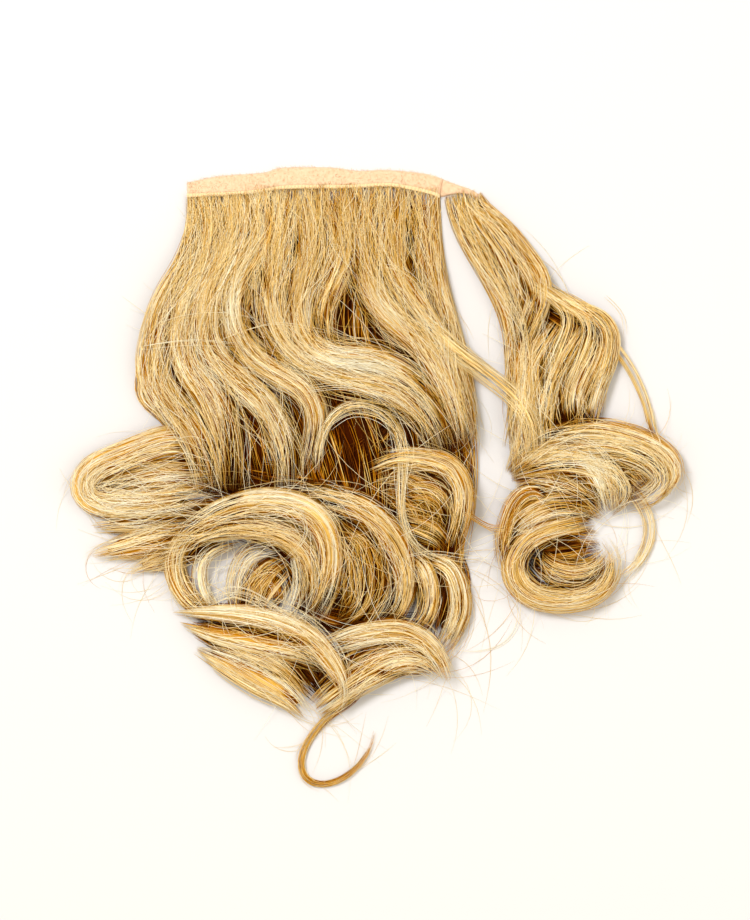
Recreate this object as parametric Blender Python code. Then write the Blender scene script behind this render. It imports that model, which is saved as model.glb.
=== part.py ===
"""A ponytail hairpiece of curled hair, lying flat as it is laid out on a table.

A hook-and-loop tape runs along the top, X is along it to the right, Y points from the hair up
to the tape's free edge, and Z points up from the table. The origin is on the underside of the
tape, midway along it. Places and widths in the tables are in millimetres.
"""

import math
from collections import namedtuple

import bmesh
import bpy
import numpy as np
from mathutils import Vector

MM = 0.001

TAPE_THICK = 2.2
BINDING_WIDE = 2.4
BINDING_THICK = 1.0
TAB_THICK = 2.0
WEFT_DEEP = 6.0
WEFT_THICK = 2.2
BINDING_OVERHANG = 0.6
PIECE_GAP = 0.3

# How finely curves are followed: cuts in each span of a curve, the steps of an edge and of a
# lock's laid line, and the longest step and turn between the stations of its body.
SPLINE_CUTS = 12
EDGE_STEP = 7.0
FINE_STEP = 3.0
STRAIGHT_STEP = 28.0
TURN_STEP = math.radians(32)

# How the locks lie: a lock that starts above WEFT_REACH leaves the weft and is thin there. Each
# lock rests on a share of the heights under its middle, evened out over DRAPE and that many
# times as far to each side, and sinks into them by a share of its own thickness. A lock's crown
# falls by a share of its thickness towards its edges. Undersides on the table are parted by tiny
# steps of height.
WEFT_REACH = -17.0
ROOT_THICK = 2.6
ROOT_RAMP = 55.0
SUPPORT_REACH = 0.4
SUPPORT_SHARE = 0.6
DRAPE = 14.0
DRAPE_TAILS = 2
SINK = 0.32
CROWN_FALL = 0.5
FLOOR_SEPARATION = 0.07
FLOOR_STEPS = 9
CELL = 2.0
GRID_LOW = (-150.0, -352.0)
GRID_HIGH = (214.0, 16.0)
WELD = 0.001

# Each lock: its thickness at the belly, its widths at root, belly and tip, and the places that
# its centre line passes, from root to tip. The locks lie in the order of the rows, each resting
# on those before it.
Lock = namedtuple("Lock", "name thick root belly tip route")

CURTAIN_LOCKS = (
    Lock("under_left", 10, 22, 44, 28, (
        (-48, -24), (-60, -70), (-64, -100), (-46, -140), (-34, -184))),
    Lock("under_middle", 10, 28, 52, 24, ((-14, -24), (-12, -80), (10, -140), (22, -196), (20, -250))),
    Lock("under_right", 10, 26, 40, 18, ((36, -24), (46, -84), (64, -140), (68, -196), (64, -246))),
    Lock("under_fold", 9, 22, 28, 22, ((14, -24), (17, -60), (18, -92), (34, -124))),
    Lock("under_ringlet", 8, 16, 30, 16, (
        (-66, -196), (-44, -190), (-16, -200), (-4, -226), (-8, -250))),
    Lock("under_swoops", 7, 9, 26, 12, ((-72, -252), (-44, -259), (-16, -266), (4, -284))),
    Lock("under_bottom", 7, 12, 28, 12, ((-2, -292), (18, -276), (42, -266), (66, -273))),
    Lock("tip_lower", 7, 13, 14, 6, ((-50, -200), (-70, -207), (-88, -213), (-109, -222))),
    Lock("tip_middle", 8, 14, 17, 9, ((-50, -194), (-78, -199), (-104, -206), (-129, -212))),
    Lock("tip_upper", 8, 16, 17, 9, ((-50, -186), (-80, -190), (-104, -193), (-129, -195))),
    Lock("loop_inner", 9, 16, 20, 8, ((-56, -166), (-86, -167), (-110, -171), (-130, -173))),
    Lock("left_loop", 13, 22, 17, 18, (
        (-60, -152), (-84, -148), (-108, -156), (-126, -164), (-132, -174), (-124, -182),
        (-98, -183), (-56, -178))),
    Lock("inner_gold", 9, 12, 17, 12, (
        (-28, -26), (-36, -50), (-42, -70), (-40, -88), (-28, -102), (-14, -110))),
    Lock("left_outer", 13, 13, 22, 16, (
        (-68.8, -13), (-68, -28), (-74, -50), (-85, -71), (-91, -94), (-92, -112), (-84, -126),
        (-72, -142), (-64, -160), (-61, -180))),
    Lock("left_inner", 12, 15, 20, 15, (
        (-58, -12.4), (-58, -28), (-63, -50), (-73, -70), (-77, -90), (-73, -107), (-62, -122),
        (-55, -140), (-52, -158), (-52, -178))),
    Lock("second_wave", 12, 15, 19, 13, (
        (-46, -11.7), (-46, -28), (-54, -48), (-63, -66), (-65, -84), (-60, -100), (-46, -114),
        (-32, -127), (-23, -143), (-19, -160), (-20, -180))),
    Lock("middle_wave", 10, 17, 17, 10, (
        (9, -8), (12, -28), (12, -44), (6, -58), (1, -74), (3, -92), (12, -106))),
    Lock("centre_wave", 12, 17, 17, 13, (
        (-22, -9), (-24, -28), (-27, -48), (-27, -66), (-24, -84), (-13, -99), (4, -109),
        (22, -114), (39, -119), (53, -129), (63, -143), (68, -158))),
    Lock("bright_wave", 13, 14, 15, 10, (
        (-34.6, -10.6), (-33, -26), (-39, -42), (-48, -57), (-51, -73), (-47, -89), (-37, -102),
        (-22, -111), (-9, -120), (-3, -134), (-5, -150), (-10, -168))),
    Lock("crest_wave", 13, 18, 17, 12, (
        (-7, -8.2), (-4, -28), (-5, -46), (-11, -63), (-12, -80), (-5, -94), (9, -101), (26, -102),
        (42, -108), (56, -118), (67, -134), (75, -152))),
    Lock("right_edge", 11, 17, 14, 10, (
        (54.5, -11.6), (59, -40), (65, -66), (73, -92), (80, -118), (85, -150))),
    Lock("right_wave", 12, 18, 17, 11, (
        (39, -7.6), (39, -44), (46, -63), (58, -80), (69, -100), (78, -124), (83, -150))),
    Lock("right_sweep", 13, 17, 17, 12, (
        (24, -7.8), (25, -44), (30, -64), (41, -79), (55, -92), (66, -108), (75, -128),
        (81, -154))),
    Lock("crossing_strand", 4.5, 9, 11, 6, ((50, -76), (70, -93), (87, -105), (101, -114))),
    Lock("ringlet_side_foot", 10, 13, 18, 11, ((40, -192), (54, -194), (66, -200), (72, -208))),
    Lock("ringlet_side_fold", 12, 15, 19, 12, ((40, -176), (58, -175), (69, -182), (74, -196))),
    Lock("ringlet_side", 15, 13, 15, 10, (
        (24, -165), (40, -158), (57, -158), (72, -163), (79, -176), (78, -192), (73, -208))),
    Lock("hollow_ring", 7, 8, 9, 6, (
        (-2, -166), (-1, -148), (7, -133), (20, -127), (34, -131), (43, -142), (46, -158),
        (45, -178), (46, -196), (54, -209), (70, -215), (92, -215))),
    Lock("arc_inside", 10, 16, 28, 16, ((4, -190), (20, -206), (25, -222), (23, -238), (12, -252))),
    Lock("arc_end", 11, 11, 13, 9, ((46, -208), (57, -218), (61, -232), (59, -246), (50, -257))),
    Lock("arc_rim", 11, 9, 13, 8, (
        (60, -213), (72, -220), (77, -233), (77, -246), (72, -258), (67, -266))),
    Lock("centre_arc", 15, 13, 17, 11, (
        (-16, -178), (6, -180), (24, -187), (37, -199), (45, -214), (47, -229), (43, -243),
        (34, -252))),
    Lock("ringlet_veil", 9, 10, 12, 10, ((-46, -246), (-48, -228), (-40, -212), (-22, -208))),
    Lock("ringlet_small", 12, 10, 15, 12, (
        (-40, -240), (-38, -226), (-28, -219), (-19, -226), (-18, -238), (-26, -248))),
    Lock("ringlet_left", 11, 11, 12, 9, (
        (-56, -192), (-74, -201), (-82, -214), (-79, -229), (-70, -240), (-56, -246))),
    Lock("ringlet_lip", 11, 8, 8, 7, (
        (-60, -244), (-67, -232), (-68, -218), (-60, -208), (-44, -204))),
    Lock("ringlet_inner", 17, 10, 16, 10, (
        (-78, -211), (-70, -201), (-54, -196), (-34, -196), (-16, -203), (-6, -215), (-4, -230),
        (-10, -244))),
    Lock("ringlet_outer", 20, 10, 17, 11, (
        (-76, -200), (-62, -191), (-44, -184), (-24, -183), (-6, -189), (3, -202), (5, -217),
        (2, -233), (-6, -248))),
    Lock("bottom_left", 11, 7, 20, 9, (
        (-71, -264), (-54, -271), (-35, -281), (-19, -291), (-8, -303))),
    Lock("bottom_left_upper", 9, 7, 15, 10, (
        (-66, -257), (-48, -263), (-30, -270), (-17, -279), (-7, -292))),
    Lock("stray_loop", 3, 4.5, 3.4, 2.4, (
        (27, -281), (17, -294), (5, -302), (-5, -313), (-11, -326), (-9, -337), (0, -341),
        (11, -338), (21, -330), (28, -319), (30, -309))),
    Lock("bottom_right", 12, 11, 19, 10, (
        (-4, -299), (10, -288), (27, -277), (43, -270), (58, -271), (69, -281))),
    Lock("bottom_right_upper", 12, 10, 15, 8, (
        (-6, -268), (9, -261), (27, -256), (45, -255), (58, -261), (67, -271), (72, -283))),
    Lock("lower_swoop", 9, 7, 13, 9, ((-78, -251), (-58, -256), (-36, -260), (-14, -265), (4, -274))),
    Lock("upper_swoop", 11, 7, 13, 5, (
        (-81, -244), (-62, -244), (-40, -246), (-18, -252), (-2, -262), (8, -275), (13, -288),
        (11, -301))),
)

WRAP_LOCKS = (
    Lock("wrap_left", 10, 11, 13, 10, (
        (75, -12.8), (81, -30), (91, -47), (100, -62), (107, -78), (110, -94), (111, -126),
        (113, -172))),
    Lock("wrap_middle", 10, 9, 15, 12, (
        (81.5, -15), (93, -29), (104, -45), (111, -60), (114, -76), (112, -92))),
    Lock("fold_outer", 11, 14, 17, 14, (
        (157, -84), (152, -98), (144, -113), (141, -128), (144, -142))),
    Lock("fold_middle", 12, 15, 18, 15, (
        (143, -80), (135, -95), (129, -111), (128, -127), (132, -143))),
    Lock("fold_inner", 13, 13, 17, 15, (
        (129, -74), (120, -88), (116, -104), (117, -121), (120, -138), (124, -152))),
    Lock("fold_ridge", 9, 10, 11, 8, (
        (114, -56), (129, -67), (143, -74), (156, -79), (163, -89), (162, -103), (156, -118),
        (154, -134))),
    Lock("wrap_outer", 12, 9, 14, 11, (
        (88, -16.5), (101, -28), (113, -44), (121, -57), (122, -69), (117, -81), (114, -96))),
    Lock("side_strand", 3.5, 5, 4.5, 4, (
        (161, -90), (173, -106), (181, -122), (186, -140), (190, -156))),
    Lock("curl_core", 9, 16, 26, 14, ((116, -210), (136, -208), (157, -206))),
    Lock("curl_ring", 15, 10, 15, 9, (
        (154, -193), (136, -196), (119, -202), (110, -213), (110, -225), (119, -234), (133, -237),
        (149, -235), (160, -227), (163, -214), (157, -203))),
    Lock("curl_lip", 10, 8, 11, 7, ((122, -211), (130, -218), (143, -221), (155, -217), (161, -210))),
    Lock("curl_low", 13, 11, 18, 11, (
        (104, -206), (112, -194), (126, -186), (141, -184), (156, -190))),
    Lock("curl_fold", 13, 10, 17, 9, (
        (108, -169), (123, -167), (139, -171), (151, -180), (160, -190))),
    Lock("curl_mouth", 11, 16, 28, 17, ((148, -154), (162, -159), (174, -166), (184, -176))),
    Lock("curl_front", 15, 11, 18, 10, (
        (116, -160), (129, -153), (144, -155), (155, -166), (160, -178), (162, -189))),
    Lock("curl_crown", 17, 12, 16, 10, (
        (120, -150), (134, -145), (150, -143), (166, -145), (182, -150), (194, -158), (198, -169),
        (191, -178))),
    Lock("outer_curl", 4, 7, 6, 4.5, (
        (174, -174), (183, -189), (184, -203), (178, -216), (168, -225))),
)

# The long edges of the tape and of its tab, from left to right.
TAPE_TOP_EDGE = (
    (-75.5, -2.5), (-57, 1.2), (-33, 3), (-22, 5.8), (4, 6), (21, 4.2), (37, 4.6), (59, 2.4),
    (68.5, -0.6))
TAPE_LOW_EDGE = (
    (-75.5, -10.6), (-52, -9.6), (-35, -8.2), (-18, -5.8), (15, -5.6), (32, -4.6), (43, -5),
    (59, -8.2), (66.5, -10.8))
TAB_TOP_EDGE = ((68.9, -0.8), (76, -3.6), (84, -6.4), (91, -10.6))
TAB_LOW_EDGE = ((67, -11), (76, -9), (83, -9.6), (88, -12.6))

# The profile of a lock across its width: the share of the half width, and of the thickness.
CROWN = ((-0.7, 0), (-1, 0.38), (-0.62, 0.84), (0, 1), (0.62, 0.84), (1, 0.38), (0.7, 0))

# Each finish: its name, colour and roughness.
Finish = namedtuple("Finish", "name colour roughness")
HAIR = Finish("hair", (0.60, 0.40, 0.16, 1), 0.45)
TAPE = Finish("loop_tape", (0.90, 0.74, 0.52, 1), 0.9)
BINDING = Finish("stitched_binding", (0.93, 0.84, 0.66, 1), 0.7)


def material(finish):
    made = bpy.data.materials.new(finish.name)
    made.use_nodes = True
    shader = made.node_tree.nodes["Principled BSDF"]
    shader.inputs["Base Color"].default_value = finish.colour
    shader.inputs["Roughness"].default_value = finish.roughness
    return made


def smooth_line(places, step):
    """Points evenly spaced, about a step apart, on one smooth curve through the places."""
    places = np.array(places, float)
    padded = np.vstack([2 * places[0] - places[1], places, 2 * places[-1] - places[-2]])
    share = np.linspace(0, 1, SPLINE_CUTS, endpoint=False)[:, None]
    spans = []
    for before, start, end, after in zip(padded, padded[1:], padded[2:], padded[3:]):
        cubic = 3 * (start - end) + after - before
        square = 2 * before - 5 * start + 4 * end - after
        spans.append(start + 0.5 * share * (end - before + share * (square + share * cubic)))
    line = np.vstack([*spans, places[-1]])
    along = np.concatenate([[0], np.cumsum(np.linalg.norm(np.diff(line, axis=0), axis=1))])
    even = np.linspace(0, along[-1], max(3, round(along[-1] / step)) + 1)
    return np.column_stack([np.interp(even, along, line[:, axis]) for axis in (0, 1)])


def widths_along(lock, count):
    """The lock's width at evenly spaced points, eased from root to belly to tip."""
    share = np.linspace(0, 1, count)
    ends = lock.root + (lock.tip - lock.root) * share
    return ends + (lock.belly - (lock.root + lock.tip) / 2) * np.sin(np.pi * share)


def thicknesses_along(lock, wide, distance):
    """The lock's thickness, thin where it is narrow and where it leaves the weft."""
    thick = lock.thick * np.sqrt(np.minimum(1, wide / lock.belly))
    if lock.route[0][1] > WEFT_REACH:
        thick = np.minimum(thick, ROOT_THICK + (lock.thick - ROOT_THICK) * distance / ROOT_RAMP)
    return thick


class Pile:
    """Heights of the hair already laid, on a grid over the table."""

    def __init__(self):
        across = np.arange(GRID_LOW[0], GRID_HIGH[0], CELL)
        up = np.arange(GRID_LOW[1], GRID_HIGH[1], CELL)
        self.x, self.y = np.meshgrid(across, up, indexing="ij")
        self.height = np.zeros_like(self.x)

    def window(self, place, reach):
        """The cells round a place: a slice each way, and their distances from it."""
        low = [max(0, int((place[axis] - reach - GRID_LOW[axis]) / CELL)) for axis in (0, 1)]
        high = [int((place[axis] + reach - GRID_LOW[axis]) / CELL) + 2 for axis in (0, 1)]
        cells = (slice(low[0], high[0]), slice(low[1], high[1]))
        return cells, np.hypot(self.x[cells] - place[0], self.y[cells] - place[1])

    def support(self, place, reach):
        cells, away = self.window(place, reach)
        return np.quantile(self.height[cells][away <= max(reach, CELL)], SUPPORT_SHARE)

    def add(self, place, reach, base, thick):
        cells, away = self.window(place, reach)
        crown = base + thick * (1 - CROWN_FALL * (away / reach) ** 2)
        laid = np.where(away <= reach, crown, 0)
        self.height[cells] = np.maximum(self.height[cells], laid)


def drape(heights):
    """Heights evened out along a lock, which can't follow a sharp step."""
    reach = math.ceil(DRAPE_TAILS * DRAPE / FINE_STEP)
    weights = np.exp(-0.5 * (np.arange(-reach, reach + 1) * FINE_STEP / DRAPE) ** 2)
    padded = np.pad(heights, reach, mode="edge")
    return np.convolve(padded, weights / weights.sum(), mode="valid")


def lay(locks):
    """For each lock its fine centre line, widths, thicknesses and the heights of its underside."""
    pile = Pile()
    laid = []
    for index, lock in enumerate(locks):
        line = smooth_line(lock.route, FINE_STEP)
        wide = widths_along(lock, len(line))
        thick = thicknesses_along(lock, wide, np.arange(len(line)) * FINE_STEP)
        support = [pile.support(place, w * SUPPORT_REACH) for place, w in zip(line, wide)]
        base = np.maximum(drape(np.array(support)) - SINK * thick, 0)
        base += FLOOR_SEPARATION * (1 + index % FLOOR_STEPS)
        for place, w, low, tall in zip(line, wide, base, thick):
            pile.add(place, w / 2, low, tall)
        laid.append((line, wide, thick, base))
    return laid


def stations_of(line):
    """The points of a laid line that carry its body's profile: closer together in its bends."""
    heading = np.unwrap(np.arctan2(*np.diff(line, axis=0).T[::-1]))
    turn = np.concatenate([[0], np.abs(np.diff(heading)), [0]])
    need = np.cumsum(FINE_STEP / STRAIGHT_STEP + turn / TURN_STEP)
    share = (need - need[0]) / (need[-1] - need[0])
    marks = np.linspace(0, 1, max(2, math.ceil(need[-1] - need[0])) + 1)
    return np.unique(np.interp(marks, share, np.arange(len(line))).round().astype(int))


def lofted_lock(lock, line, wide, thick, base):
    """The lock's body: its crowned profile carried along its centre line, closed at both ends."""
    stations = stations_of(line)
    side = np.gradient(line, axis=0)
    side = np.column_stack([side[:, 1], -side[:, 0]]) / np.linalg.norm(side, axis=1)[:, None]
    body = bmesh.new()
    loops = []
    for at in stations:
        loop = []
        for across, up in CROWN:
            place = line[at] + side[at] * across * wide[at] / 2
            loop.append(body.verts.new(Vector((*place, base[at] + up * thick[at])) * MM))
        loops.append(loop)
    for start, end in zip(loops, loops[1:]):
        for corner in range(len(CROWN)):
            body.faces.new((start[corner - 1], start[corner], end[corner], end[corner - 1]))
    body.faces.new(loops[0])
    body.faces.new(loops[-1])
    bmesh.ops.recalc_face_normals(body, faces=body.faces)
    mesh = bpy.data.meshes.new(lock.name)
    body.to_mesh(mesh)
    body.free()
    return bpy.data.objects.new(lock.name, mesh)


def flat_piece(name, outline, low, high, look):
    """A flat piece with the outline's shape, between two heights."""
    curve = bpy.data.curves.new(name, "CURVE")
    curve.dimensions = "2D"
    curve.fill_mode = "BOTH"
    curve.extrude = (high - low) / 2 * MM
    spline = curve.splines.new("POLY")
    spline.points.add(len(outline) - 1)
    for point, (x, y) in zip(spline.points, outline):
        point.co = (x * MM, y * MM, 0, 1)
    spline.use_cyclic_u = True
    curve.materials.append(look)
    piece = bpy.data.objects.new(name, curve)
    piece.location.z = (low + high) / 2 * MM
    return piece


def between(top_edge, low_edge):
    """The outline that two edges enclose."""
    return [*smooth_line(top_edge, EDGE_STEP), *reversed(smooth_line(low_edge, EDGE_STEP))]


def along(edge, above, below):
    """The outline of a strip that runs along an edge, from above it to below it."""
    line = smooth_line(edge, EDGE_STEP)
    return [*(line + (0, above)), *reversed(line - (0, below))]


def enclosed_volume(faces):
    """The volume inside a closed shell, negative where its faces point inwards, as in a pocket."""
    return sum(face.calc_center_median().dot(face.normal) * face.calc_area() for face in faces) / 3


def outer_shell(mesh):
    """Leaves the mesh's outer surface, without pockets that the locks enclose between them."""
    body = bmesh.new()
    body.from_mesh(mesh)
    bmesh.ops.dissolve_degenerate(body, edges=body.edges, dist=WELD * MM)
    waiting = set(body.faces)
    shells = []
    while waiting:
        shell = {waiting.pop()}
        front = list(shell)
        while front:
            for edge in front.pop().edges:
                near = [face for face in edge.link_faces if face in waiting]
                waiting.difference_update(near)
                shell.update(near)
                front.extend(near)
        shells.append(shell)
    pockets = [face for shell in shells if enclosed_volume(shell) < 0 for face in shell]
    bmesh.ops.delete(body, geom=pockets, context="FACES")
    body.to_mesh(mesh)
    body.free()


def mesh_of(piece):
    """The evaluated mesh of a piece, its loose caps welded on."""
    mesh = bpy.data.meshes.new_from_object(piece.evaluated_get(bpy.context.evaluated_depsgraph_get()))
    body = bmesh.new()
    body.from_mesh(mesh)
    bmesh.ops.remove_doubles(body, verts=body.verts, dist=WELD * MM)
    body.to_mesh(mesh)
    body.free()
    return mesh


def fused_hair(name, edge, locks, collection, look):
    """One node of hair: the weft under an edge of the tape, and every lock, joined in one body."""
    strip = flat_piece(name + "_weft", along(edge, -PIECE_GAP, WEFT_DEEP), 0, WEFT_THICK, look)
    collection.objects.link(strip)
    hair = bpy.data.objects.new(name, mesh_of(strip))
    hair.matrix_world = strip.matrix_world
    bpy.data.objects.remove(strip)
    collection.objects.link(hair)
    bodies = bpy.data.collections.new(name + "_locks")
    bpy.context.scene.collection.children.link(bodies)
    for lock, shape in zip(locks, lay(locks)):
        bodies.objects.link(lofted_lock(lock, *shape))
    union = hair.modifiers.new("union", "BOOLEAN")
    union.operation = "UNION"
    union.solver = "EXACT"
    union.operand_type = "COLLECTION"
    union.collection = bodies
    fused = mesh_of(hair)
    outer_shell(fused)
    hair.modifiers.clear()
    hair.data = fused
    for body in list(bodies.objects):
        bpy.data.objects.remove(body)
    bpy.data.collections.remove(bodies)


def main():
    for old in list(bpy.data.objects):
        bpy.data.objects.remove(old)
    hairpiece = bpy.data.collections.new("ponytail_hairpiece")
    bpy.context.scene.collection.children.link(hairpiece)
    hair, tape, binding = [material(finish) for finish in (HAIR, TAPE, BINDING)]

    rib_low = TAPE_THICK + PIECE_GAP
    rib = along(TAPE_LOW_EDGE, BINDING_WIDE - BINDING_OVERHANG, BINDING_OVERHANG)
    for piece in (
        flat_piece("grip_tape", between(TAPE_TOP_EDGE, TAPE_LOW_EDGE), 0, TAPE_THICK, tape),
        flat_piece("tape_binding", rib, rib_low, rib_low + BINDING_THICK, binding),
        flat_piece("wrap_tab", between(TAB_TOP_EDGE, TAB_LOW_EDGE), 0, TAB_THICK, tape),
    ):
        hairpiece.objects.link(piece)
    fused_hair("curtain_hair", TAPE_LOW_EDGE, CURTAIN_LOCKS, hairpiece, hair)
    fused_hair("wrap_hair", TAB_LOW_EDGE, WRAP_LOCKS, hairpiece, hair)


main()
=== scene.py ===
"""The looks of a ponytail hairpiece of curled hair, lying flat and seen from straight above.

The hair is built strand by strand on the same locks as the solid part. Each lock has a darker
core, painted shade for the depths between its strands, and the strands lie over it in clumps.
Places and widths in the tables are millimetres.
"""

import math
from collections import namedtuple

import bmesh
import bpy
import numpy as np
from mathutils import Matrix, Vector, noise


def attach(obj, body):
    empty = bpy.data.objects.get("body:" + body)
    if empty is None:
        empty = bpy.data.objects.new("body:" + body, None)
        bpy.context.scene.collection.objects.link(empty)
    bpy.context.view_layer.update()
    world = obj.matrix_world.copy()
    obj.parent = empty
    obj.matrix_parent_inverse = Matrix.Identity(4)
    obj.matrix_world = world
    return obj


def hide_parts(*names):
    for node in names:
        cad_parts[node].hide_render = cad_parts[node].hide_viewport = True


MM = 0.001

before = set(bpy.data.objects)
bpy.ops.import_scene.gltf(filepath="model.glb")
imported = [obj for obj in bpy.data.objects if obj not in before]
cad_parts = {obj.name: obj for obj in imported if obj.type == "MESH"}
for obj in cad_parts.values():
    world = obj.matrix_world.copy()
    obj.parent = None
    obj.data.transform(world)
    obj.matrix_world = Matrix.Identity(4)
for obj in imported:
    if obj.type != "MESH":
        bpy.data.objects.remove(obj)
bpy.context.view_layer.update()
dice = np.random.default_rng(11)

# How finely curves are followed: cuts in each span of a curve, and the steps of a lock's laid
# line, of the line that its strands follow and of the tape's edges.
SPLINE_CUTS = 12
FINE_STEP = 3.0
STRAND_STEP = 1.0
EDGE_STEP = 1.0

# How the locks lie: a lock that starts above WEFT_REACH leaves the weft and is thin there. Each
# lock rests on a share of the heights under its middle, evened out over DRAPE and that many
# times as far to each side, and sinks into them by a share of its own thickness. A lock's crown
# falls by a share of its thickness towards its edges. Undersides on the table are parted by tiny
# steps of height. The heights are kept in the cells of a grid between two corners.
WEFT_REACH = -17.0
ROOT_THICK = 2.6
ROOT_RAMP = 55.0
SUPPORT_REACH = 0.4
SUPPORT_SHARE = 0.6
DRAPE = 14.0
DRAPE_TAILS = 2
SINK = 0.32
CROWN_FALL = 0.5
FLOOR_SEPARATION = 0.07
FLOOR_STEPS = 9
CELL = 2.0
GRID_LOW = (-150.0, -352.0)
GRID_HIGH = (214.0, 16.0)

# Each lock: its thickness at the belly, its widths at root, belly and tip, and the places that
# its centre line passes, from root to tip. The locks lie in the order of the rows, each resting
# on those before it. ringlet_small is in no piece of strands: it only lifts the hair over it and
# carries loose strands.
Lock = namedtuple("Lock", "name thick root belly tip route")

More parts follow.
